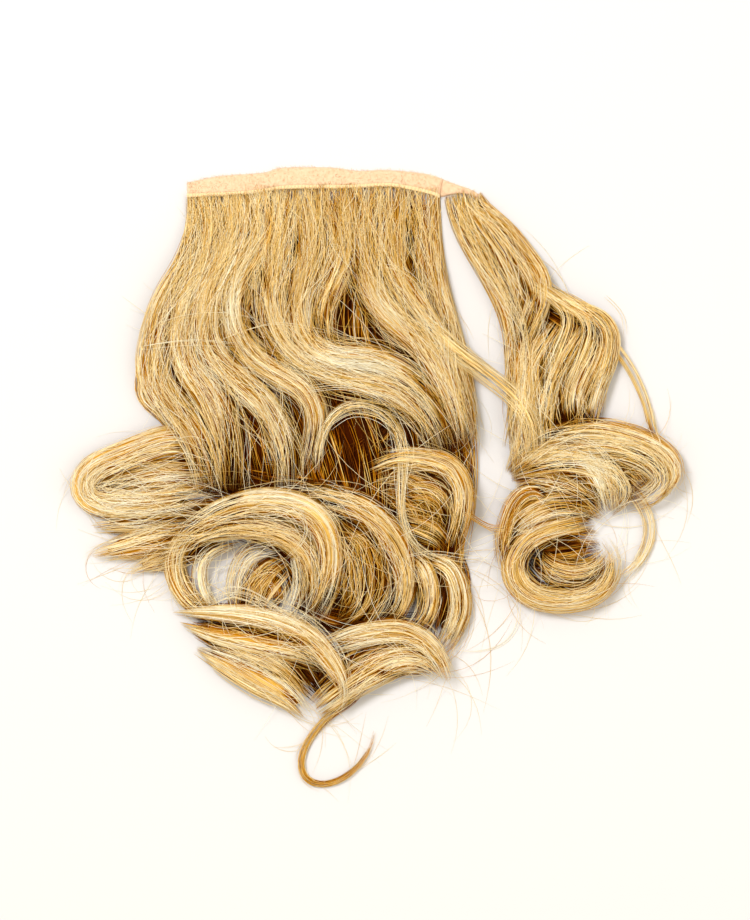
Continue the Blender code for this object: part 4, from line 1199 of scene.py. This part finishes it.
def over_strands(laid, skyline, look):
    """Loose strands that start on a lock and slide over its neighbours, on top of the hair."""
    count = max(4, round(look.crowd * laid.length * laid.wide.mean() / 100))
    marks = np.linspace(0, 1, OVER_STATIONS)
    first = dice.uniform(*look.first, count)
    last = np.minimum(first + dice.uniform(*look.run, count), OVER_END)
    share = first[:, None] + (last - first)[:, None] * marks
    drift = look.drift * min(1, laid.length / DRIFT_LENGTH)
    across = dice.uniform(-1.1, 1.1, count)[:, None] + drift * wander(count, marks, 90)
    if laid.lock.name in OUTLINE_LOCKS:
        across = np.clip(across, -OUTLINE_REACH, OUTLINE_REACH)
    place = eased_paths(laid.at(share, across)[0])
    height = bridged(skyline.over(place)) + dice.uniform(-0.1, 0.7, count)[:, None]
    if laid.from_weft:
        height = np.minimum(height, ROOT_HEIGHT + 0.4 + ROOT_SLOPE * share * laid.length)
        height = height + dice.uniform(-0.2, 0.5, count)[:, None]
    paths = eased_paths(np.concatenate([place, height[..., None]], axis=-1))
    radius = tapered(count, marks, look.thick * dice.uniform(0.7, 1.2, count), 0.03, 0.3)
    tone = LOOKS[laid.lock.name].tone - PLAIN.tone + look.tone
    shade = dice.normal(tone, 0.12, count)[:, None] + 0.05 * wander(count, marks, 60)
    bare = (skyline.read(skyline.top, place) < BARE_TABLE).mean(axis=1)
    stay = bare < np.where(dice.uniform(size=count) < STRAYS, 1, BARE_LEAST)
    # Painted shade where the hair parts, and a painted highlight on crests.
    shade = shade - PARTING_PAINTED_SHADE * SHALLOW * parting(paths)
    return Strands(paths[stay], radius[stay], shade[stay])


def curling(angle, length, anchor, station):
    """Lines of some lengths that turn through the angles and pass an anchor at one station."""
    step = (length / (angle.shape[1] - 1))[:, None, None]
    place = np.cumsum(np.stack([np.cos(angle), np.sin(angle)], axis=-1) * step, axis=1)
    return anchor[:, None, :] + place - place[:, station][:, None, :]


def wisps(laid, skyline, count, sides, first, last, lengths, bend):
    """Single hairs that leave a lock at its side and curl over the hair or the table."""
    marks = np.linspace(0, 1, WISP_STATIONS)
    start = dice.uniform(first, last, count)
    side = dice.choice(sides, count)
    root = laid.at(start, side * WISP_ROOT)[0]
    ahead = laid.at(np.minimum(start + 0.02, 1), side * WISP_ROOT)[0] - root
    heading = np.arctan2(ahead[:, 1], ahead[:, 0])
    leave = dice.uniform(0.1, 0.6, count) * -side
    length = dice.uniform(*lengths, count)
    turn = dice.normal(0, 1, count) * 0.5 + bend * side * dice.uniform(0.4, 1.6, count)
    angle = (heading + leave)[:, None] + turn[:, None] * marks + 0.12 * wander(count, marks, 60)
    place = curling(angle, length, root, 0)
    paths = resting(place, skyline.read(skyline.top, place) + 0.35, WISP_FLOOR)
    radius = tapered(count, marks, WISP_WIDE * dice.uniform(0.7, 1.3, count), 0.02, 0.4)
    shade = dice.uniform(0.3, 0.85, count)[:, None] * np.ones_like(angle)
    return Strands(paths, radius, shade)


def tangles(skyline, tangle):
    """Single hairs that curl across a patch of the hair in every direction."""
    marks = np.linspace(0, 1, TANGLE_STATIONS)
    count = tangle.count
    around = dice.uniform(0, 2 * math.pi, count)
    out = np.sqrt(dice.uniform(0, 1, count))
    middle = np.array(tangle.middle) + np.column_stack([
        np.cos(around) * out * tangle.reach[0], np.sin(around) * out * tangle.reach[1]])
    length = dice.uniform(*tangle.lengths, count)
    heading = math.radians(tangle.heading) + dice.normal(0, tangle.stray, count)
    bend = dice.choice((-1, 1), count) * dice.uniform(0.4, 1.0, count) * tangle.curl
    angle = heading[:, None] + bend[:, None] * (marks - 0.5) + 0.15 * wander(count, marks, 60)
    place = curling(angle, length, middle, TANGLE_STATIONS // 2)
    height = skyline.over(place) + dice.uniform(0.1, 1.0, count)[:, None]
    paths = resting(place, height, WISP_FLOOR)
    radius = tapered(count, marks, TANGLE_THICK * dice.uniform(0.7, 1.25, count), 0.15, 0.3)
    shade = dice.normal(tangle.tone, 0.10, count)[:, None] * np.ones_like(angle)
    return Strands(paths, radius, shade)


def drawn_strands(skyline, flyaway):
    """A few strands side by side along a drawn route, on top of the hair or on the table."""
    line = smooth_line(flyaway.route, FLYAWAY_STEP)
    marks = np.linspace(0, 1, len(line))
    ahead = np.gradient(line, axis=0)
    side = np.column_stack([ahead[:, 1], -ahead[:, 0]]) / np.linalg.norm(ahead, axis=1)[:, None]
    count = flyaway.count
    apart = dice.normal(0, flyaway.spread, count)[:, None]
    apart = apart + 0.5 * flyaway.spread * wander(count, marks, 80)
    place = line[None] + side[None] * apart[..., None]
    paths = resting(place, bridged(skyline.over(place)) + 0.8, STRAND_FLOOR)
    radius = tapered(count, marks, flyaway.thick * dice.uniform(0.8, 1.2, count), 0.1, 0.3)
    shade = dice.normal(flyaway.tone, 0.13, count)[:, None] * np.ones_like(apart)
    return Strands(paths, radius, shade)


# Finishes


# The warm tint of the gloss on every surface.
GLOSS_TINT = (1.0, 0.84, 0.50, 1)

# The hair's finishes: roughness and gloss, how close its streaks lie along and across and how
# fine they are, how far they swing the shade and roughen it, their bump, and whether the shade
# is read along V or from the core's own shade.
Finish = namedtuple("Finish", "roughness specular along across detail swing matt bump by_shade")
STRAND_FINISH = Finish(0.32, 0.07, 44, 70, 2.0, 0.26, 0.16, 0.0, True)
CORE_FINISH = Finish(0.60, 0.03, 16, 900, 2.0, 0.5, 0.1, 0.8, False)
PILE_FINISH = Finish(0.80, 0.2, 60, 50, 1.0, 0.2, 0.05, 0.0, True)

# Colours by shade, from dark to pale, each a position and its colour on a screen.
HAIR_STOPS = (
    (0.00, (60, 19, 0)), (0.14, (146, 76, 0)), (0.30, (202, 136, 14)), (0.46, (229, 187, 90)),
    (0.62, (244, 217, 155)), (0.80, (254, 241, 206)), (1.00, (255, 251, 234)))
TAPE_STOPS = ((0.25, (216, 176, 142)), (0.5, (227, 194, 163)), (0.75, (235, 208, 182)))
PILE_STOPS = ((0.1, (224, 182, 146)), (0.5, (235, 202, 170)), (0.9, (243, 220, 194)))
RIB_STOPS = ((0.3, (214, 184, 132)), (0.5, (232, 208, 162)), (0.7, (242, 224, 184)))

# How much of the brushed cloth's mottle is its fine nap.
NAP_SHARE = 0.35


def tint(red, green, blue):
    """A colour from its values on a screen, each from 0 to 255."""
    def linear(value):
        value = value / 255
        return value / 12.92 if value <= 0.04045 else ((value + 0.055) / 1.055) ** 2.4
    return (linear(red), linear(green), linear(blue), 1)


def placed(tree, kind, **values):
    """A node in the tree, with its properties and the values of its inputs set."""
    node = tree.nodes.new(kind)
    for name, value in values.items():
        if hasattr(node, name):
            setattr(node, name, value)
        else:
            node.inputs[name.replace("_", " ")].default_value = value
    return node


def math_node(tree, operation, first, second):
    """A Math node on two values or sockets."""
    node = placed(tree, "ShaderNodeMath", operation=operation)
    for socket, value in zip(node.inputs, (first, second)):
        if isinstance(value, (int, float)):
            socket.default_value = value
        else:
            tree.links.new(value, socket)
    return node.outputs[0]


def streaks_group():
    """Streaks that run along a strand or a lock: long along U and narrow across V."""
    group = bpy.data.node_groups.new("lengthwise_streaks", "ShaderNodeTree")
    face = group.interface
    face.new_socket("Coordinates", in_out="INPUT", socket_type="NodeSocketVector")
    for name in ("Along", "Across", "Detail"):
        face.new_socket(name, in_out="INPUT", socket_type="NodeSocketFloat")
    face.new_socket("Streaks", in_out="OUTPUT", socket_type="NodeSocketFloat")
    inside, outside = group.nodes.new("NodeGroupInput"), group.nodes.new("NodeGroupOutput")
    parts = group.nodes.new("ShaderNodeSeparateXYZ")
    join = group.nodes.new("ShaderNodeCombineXYZ")
    grain = placed(group, "ShaderNodeTexNoise", noise_dimensions="2D", Scale=1.0, Roughness=0.6)
    group.links.new(inside.outputs["Coordinates"], parts.inputs[0])
    for axis, name in enumerate(("Along", "Across")):
        scaled = math_node(group, "MULTIPLY", parts.outputs[axis], inside.outputs[name])
        group.links.new(scaled, join.inputs[axis])
    group.links.new(join.outputs[0], grain.inputs["Vector"])
    group.links.new(inside.outputs["Detail"], grain.inputs["Detail"])
    group.links.new(grain.outputs["Fac"], outside.inputs["Streaks"])
    return group


def new_material(name, roughness, specular):
    """A material, its node tree and its shader."""
    made = bpy.data.materials.new(name)
    made.use_nodes = True
    shader = made.node_tree.nodes["Principled BSDF"]
    shader.inputs["Roughness"].default_value = roughness
    shader.inputs["Specular IOR Level"].default_value = specular
    shader.inputs["Specular Tint"].default_value = GLOSS_TINT
    return made, made.node_tree, shader


def ramp_of(tree, stops, factor):
    """A colour ramp with these stops, each a position and a screen colour."""
    ramp = tree.nodes.new("ShaderNodeValToRGB")
    elements = ramp.color_ramp.elements
    while len(elements) < len(stops):
        elements.new(0.5)
    for element, (position, colour) in zip(elements, stops):
        element.position = position
        element.color = tint(*colour)
    tree.links.new(factor, ramp.inputs["Fac"])
    return ramp.outputs["Color"]


def streaked_finish(name, streaks, stops, finish):
    """Hair whose colour follows its shade, kept along V, with streaks along each strand."""
    made, tree, shader = new_material(name, finish.roughness, finish.specular)
    coords = placed(tree, "ShaderNodeUVMap", uv_map="OFBake" if finish.by_shade else "lengthwise")
    streak = placed(tree, "ShaderNodeGroup", node_tree=streaks)
    for socket in ("Along", "Across", "Detail"):
        streak.inputs[socket].default_value = getattr(finish, socket.lower())
    tree.links.new(coords.outputs["UV"], streak.inputs["Coordinates"])
    if finish.by_shade:
        parts = tree.nodes.new("ShaderNodeSeparateXYZ")
        tree.links.new(coords.outputs["UV"], parts.inputs[0])
        shade = parts.outputs["Y"]
    else:
        shade = placed(tree, "ShaderNodeAttribute", attribute_name="shade").outputs["Fac"]
    swing = math_node(tree, "SUBTRACT", streak.outputs["Streaks"], 0.5)
    swing = math_node(tree, "MULTIPLY", swing, finish.swing)
    swing = math_node(tree, "ADD", shade, swing)
    tree.links.new(ramp_of(tree, stops, swing), shader.inputs["Base Color"])
    matt = math_node(tree, "MULTIPLY", streak.outputs["Streaks"], finish.matt)
    matt = math_node(tree, "ADD", matt, finish.roughness)
    tree.links.new(matt, shader.inputs["Roughness"])
    bump = placed(tree, "ShaderNodeBump", Strength=finish.bump, Distance=0.0003)
    tree.links.new(streak.outputs["Streaks"], bump.inputs["Height"])
    tree.links.new(bump.outputs["Normal"], shader.inputs["Normal"])
    return made


def felt_finish(name, stops, roughness, scale, bump):
    """Brushed cloth: a soft mottle and a fine nap, read from the object's own place."""
    made, tree, shader = new_material(name, roughness, 0.2)
    shader.inputs["Sheen Weight"].default_value = 0.4
    shader.inputs["Sheen Roughness"].default_value = 0.5
    coords = tree.nodes.new("ShaderNodeTexCoord")
    mottle = placed(tree, "ShaderNodeTexNoise", Scale=scale, Detail=4.0, Roughness=0.65)
    nap = placed(tree, "ShaderNodeTexNoise", Scale=scale * 9, Detail=2.0, Roughness=0.6)
    for grain in (mottle, nap):
        tree.links.new(coords.outputs["Object"], grain.inputs["Vector"])
    blend = math_node(tree, "MULTIPLY_ADD", mottle.outputs["Fac"], 1 - NAP_SHARE)
    fine = math_node(tree, "MULTIPLY", nap.outputs["Fac"], NAP_SHARE)
    tree.links.new(fine, blend.node.inputs[2])
    tree.links.new(ramp_of(tree, stops, blend), shader.inputs["Base Color"])
    raised = placed(tree, "ShaderNodeBump", Strength=bump, Distance=0.0004)
    tree.links.new(nap.outputs["Fac"], raised.inputs["Height"])
    tree.links.new(raised.outputs["Normal"], shader.inputs["Normal"])
    return made


# Light, floor and camera


# The middle of the view and the height that the frame takes in there, and the camera: its
# sensor in millimetres, and in metres its height and the height of the hair that it frames.
MIDDLE = (30.2, -158.5)
FRAME_TALL = 515.2
SENSOR = 36
CAMERA_HEIGHT = 3.0
FOCUS_HEIGHT = 0.012

# The table's half width in metres, the pale surroundings, and the lamps: place and size in
# metres, power in watts and colour.
TABLE_REACH = 3
FLOOR_COLOUR = (0.665, 0.665, 0.705, 1)
WORLD_COLOUR = (1.0, 0.90, 0.68, 1)
WORLD_STRENGTH = 0.85
LAMPS = (
    ("key_light", (-0.80, 0.70, 2.10), (0.9, 0.65), 45, (1.0, 1.0, 1.0)),
    ("side_light", (1.1, -0.4, 1.0), (1.2, 1.2), 6, (1.0, 1.0, 0.98)),
)


def soft_light(name, place, size, power, colour):
    """A wide soft lamp that looks at the middle of the hairpiece."""
    lamp = bpy.data.lights.new(name, "AREA")
    lamp.shape = "RECTANGLE"
    lamp.size, lamp.size_y = size
    lamp.energy = power
    lamp.color = colour
    holder = bpy.data.objects.new(name, lamp)
    holder.location = place
    middle = Vector((MIDDLE[0] * MM, MIDDLE[1] * MM, 0))
    holder.rotation_euler = (middle - Vector(place)).to_track_quat("-Z", "Y").to_euler()
    bpy.context.scene.collection.objects.link(holder)


def studio():
    """The table, the lamps, the pale surroundings and the camera straight above."""
    scene = bpy.context.scene
    scene.view_settings.view_transform = "Standard"
    table = bmesh.new()
    bmesh.ops.create_grid(table, x_segments=1, y_segments=1, size=TABLE_REACH)
    mesh = bpy.data.meshes.new("table")
    table.to_mesh(mesh)
    table.free()
    made, _, shader = new_material("pale_table", 0.9, 0.1)
    shader.inputs["Base Color"].default_value = FLOOR_COLOUR
    mesh.materials.append(made)
    floor = bpy.data.objects.new("table", mesh)
    scene.collection.objects.link(floor)

    surroundings = bpy.data.worlds.new("surroundings")
    surroundings.use_nodes = True
    light = surroundings.node_tree.nodes["Background"]
    light.inputs["Color"].default_value = WORLD_COLOUR
    light.inputs["Strength"].default_value = WORLD_STRENGTH
    scene.world = surroundings
    for lamp in LAMPS:
        soft_light(*lamp)

    lens = bpy.data.cameras.new("camera")
    lens.sensor_width = SENSOR
    lens.lens = SENSOR * (CAMERA_HEIGHT - FOCUS_HEIGHT) / (FRAME_TALL * MM)
    lens.clip_end = 20
    camera = bpy.data.objects.new("camera", lens)
    camera.location = (MIDDLE[0] * MM, MIDDLE[1] * MM, CAMERA_HEIGHT)
    scene.collection.objects.link(camera)
    scene.camera = camera


# The hairpiece


def laid_locks(locks):
    """Some locks as they lie on one another, by name."""
    return {lock.name: LaidLock(lock, *shape) for lock, shape in zip(locks, lay(locks))}


def parting(places):
    """How deep the hair parts at some places, from 0 to 1, and less than 0 on its crests, which
    get a painted highlight.
    """
    depth = np.zeros(places.shape[:-1])
    for hollow in HOLLOWS:
        turn = math.radians(hollow.heading)
        away = places[..., :2] - (hollow.x, hollow.y)
        along = (away[..., 0] * math.cos(turn) + away[..., 1] * math.sin(turn)) / hollow.long
        aside = (away[..., 1] * math.cos(turn) - away[..., 0] * math.sin(turn)) / hollow.wide
        depth += hollow.depth * np.exp(-0.9 * (along ** 2 + aside ** 2) ** 1.5)
    return np.clip(depth, -1, 1)


def painted_occlusion_shade(places, skyline):
    """Painted shade: how much the shade deepens at places that lie below the hair round them, less
    towards the outline, where light comes in from the side."""
    spots = places[..., :2]
    wide = skyline.read(skyline.wide_top, spots) - places[..., 2] - BURIAL_START
    close = np.clip(skyline.read(skyline.top, spots) - places[..., 2], 0, CREVICE_LIMIT)
    inside = np.clip((skyline.read(skyline.cover, spots) - COVER_START) / COVER_RISE, 0, 1)
    return inside * (BURIAL_PAINTED_SHADE * np.clip(wide, *BURIAL_LIMITS) + CREVICE_PAINTED_SHADE * close)


def parted(strands):
    """The strands let down and darkened by painted shade where the hair parts, but for a few that
    pass over, and paler on crests by a painted highlight.
    """
    paths, radius, shade = strands
    passing = dice.uniform(size=len(paths)) < PASSING
    share = np.where(passing, PASSING_DROP, dice.uniform(0.6, 1.1, len(paths)))
    depth = parting(paths) * share[:, None]
    paths = paths.copy()
    dropped = paths[..., 2] - HOLLOW_DROP * np.maximum(depth, 0)
    paths[..., 2] = np.maximum(dropped, STRAND_FLOOR)
    return Strands(paths, radius, shade - PARTING_PAINTED_SHADE * np.maximum(depth, SHALLOW * depth))


def painted_shade_below(strands, skyline):
    """The strands with painted shade where they lie below the hair round them."""
    paths, radius, shade = strands
    return Strands(paths, radius, shade - painted_occlusion_shade(paths, skyline))


def dressed_locks():
    """The locks of the curtain and of the wrapping lock as they lie, with the layers that fill
    the spaces between them, each of which stands on the table by itself."""
    curtain, wrap = laid_locks(CURTAIN_LOCKS), laid_locks(WRAP_LOCKS)
    for laid, fills in ((curtain, CURTAIN_FILLS), (wrap, WRAP_FILLS)):
        for fill in fills:
            laid.update(laid_locks([fill]))
    return curtain, wrap


def show_hair(curtain, wrap, hair, depths):
    """The strands of the locks, the loose ones over them, single hairs, and the dark cores."""
    groups = {}
    for pieces, laid in ((CURTAIN_PIECES, curtain), (WRAP_PIECES, wrap)):
        for piece, looks in pieces.items():
            groups[piece] = [
                parted(covering_strands(laid[name], look)) for name, look in looks.items()]
    skyline = Skyline([strands for group in groups.values() for strands in group])
    for piece, group in groups.items():
        mesh = tube_mesh(piece, [painted_shade_below(strands, skyline) for strands in group])
        shown(piece, mesh, hair, "hair")

    locks = {**curtain, **wrap}
    loose, roots = [], []
    for name, laid in locks.items():
        if not name.startswith(("under", "fill")):
            loose.append(kept_in(over_strands(laid, skyline, OVER)))
        if laid.from_weft:
            roots.append(kept_in(over_strands(laid, skyline, ROOTS)))
    shown("loose_strands", tube_mesh("loose_strands", loose), hair, "hair")
    shown("root_strands", tube_mesh("root_strands", roots), hair, "hair")
    fine = [drawn_strands(skyline, flyaway) for flyaway in FLYAWAYS]
    fine += [wisps(locks[name], skyline, *values) for name, *values in WISPS]
    fine += [tangles(skyline, tangle) for tangle in TANGLES]
    fine = [kept_in(strands) for strands in fine]
    shown("stray_hairs", tube_mesh("stray_hairs", fine), hair, "hair")

    core = core_mesh("curtain_core", curtain.values(), skyline)
    shown("curtain_core", core, depths, "hair", "curtain_hair")
    core = core_mesh("wrap_core", wrap.values(), skyline)
    shown("wrap_core", core, depths, "hair", "wrap_hair")


def show_tape(felt, nap, ribbing, thread):
    """The tape and its tab with their nap, and the binding with its stitches."""
    surface = tape_surface(TAPE_THICK)
    band = band_mesh("tape_band", TAPE_TOP_EDGE, TAPE_LOW_EDGE, 220, 12, surface)
    shown("tape_band", band, felt, "loop_tape", "grip_tape")
    tab = band_mesh("tab_band", TAB_TOP_EDGE, TAB_LOW_EDGE, 40, 10, tape_surface(TAB_THICK))
    shown("tab_band", tab, felt, "loop_tape", "wrap_tab")
    loops = [
        pile_loops(TAPE_TOP_EDGE, beside(TAPE_LOW_EDGE, 1.2), TAPE_THICK, TAPE_LOOPS),
        pile_loops(TAB_TOP_EDGE, TAB_LOW_EDGE, TAB_THICK, TAB_LOOPS),
    ]
    shown("tape_pile", tube_mesh("tape_pile", loops), nap, "loop_tape")
    low = beside(TAPE_LOW_EDGE, -BINDING_OVERHANG)
    top = beside(TAPE_LOW_EDGE, BINDING_WIDE - BINDING_OVERHANG)
    rib = band_mesh("binding_rib", top, low, 460, 6, rib_surface)
    shown("binding_rib", rib, ribbing, "stitched_binding", "tape_binding")
    stitches = tube_mesh("binding_thread", [binding_stitches()])
    shown("binding_thread", stitches, thread, "stitched_binding")


def main():
    streaks = streaks_group()
    hair = streaked_finish("hair_strands", streaks, HAIR_STOPS, STRAND_FINISH)
    depths = streaked_finish("hair_depths", streaks, HAIR_STOPS, CORE_FINISH)
    felt = felt_finish("brushed_tape", TAPE_STOPS, 0.9, 420, 0.5)
    nap = streaked_finish("tape_loops", streaks, PILE_STOPS, PILE_FINISH)
    ribbing = felt_finish("binding_cloth", RIB_STOPS, 0.75, 900, 0.4)
    thread = streaked_finish("sewing_thread", streaks, PILE_STOPS, PILE_FINISH)
    curtain, wrap = dressed_locks()
    show_hair(curtain, wrap, hair, depths)
    show_tape(felt, nap, ribbing, thread)
    studio()


main()
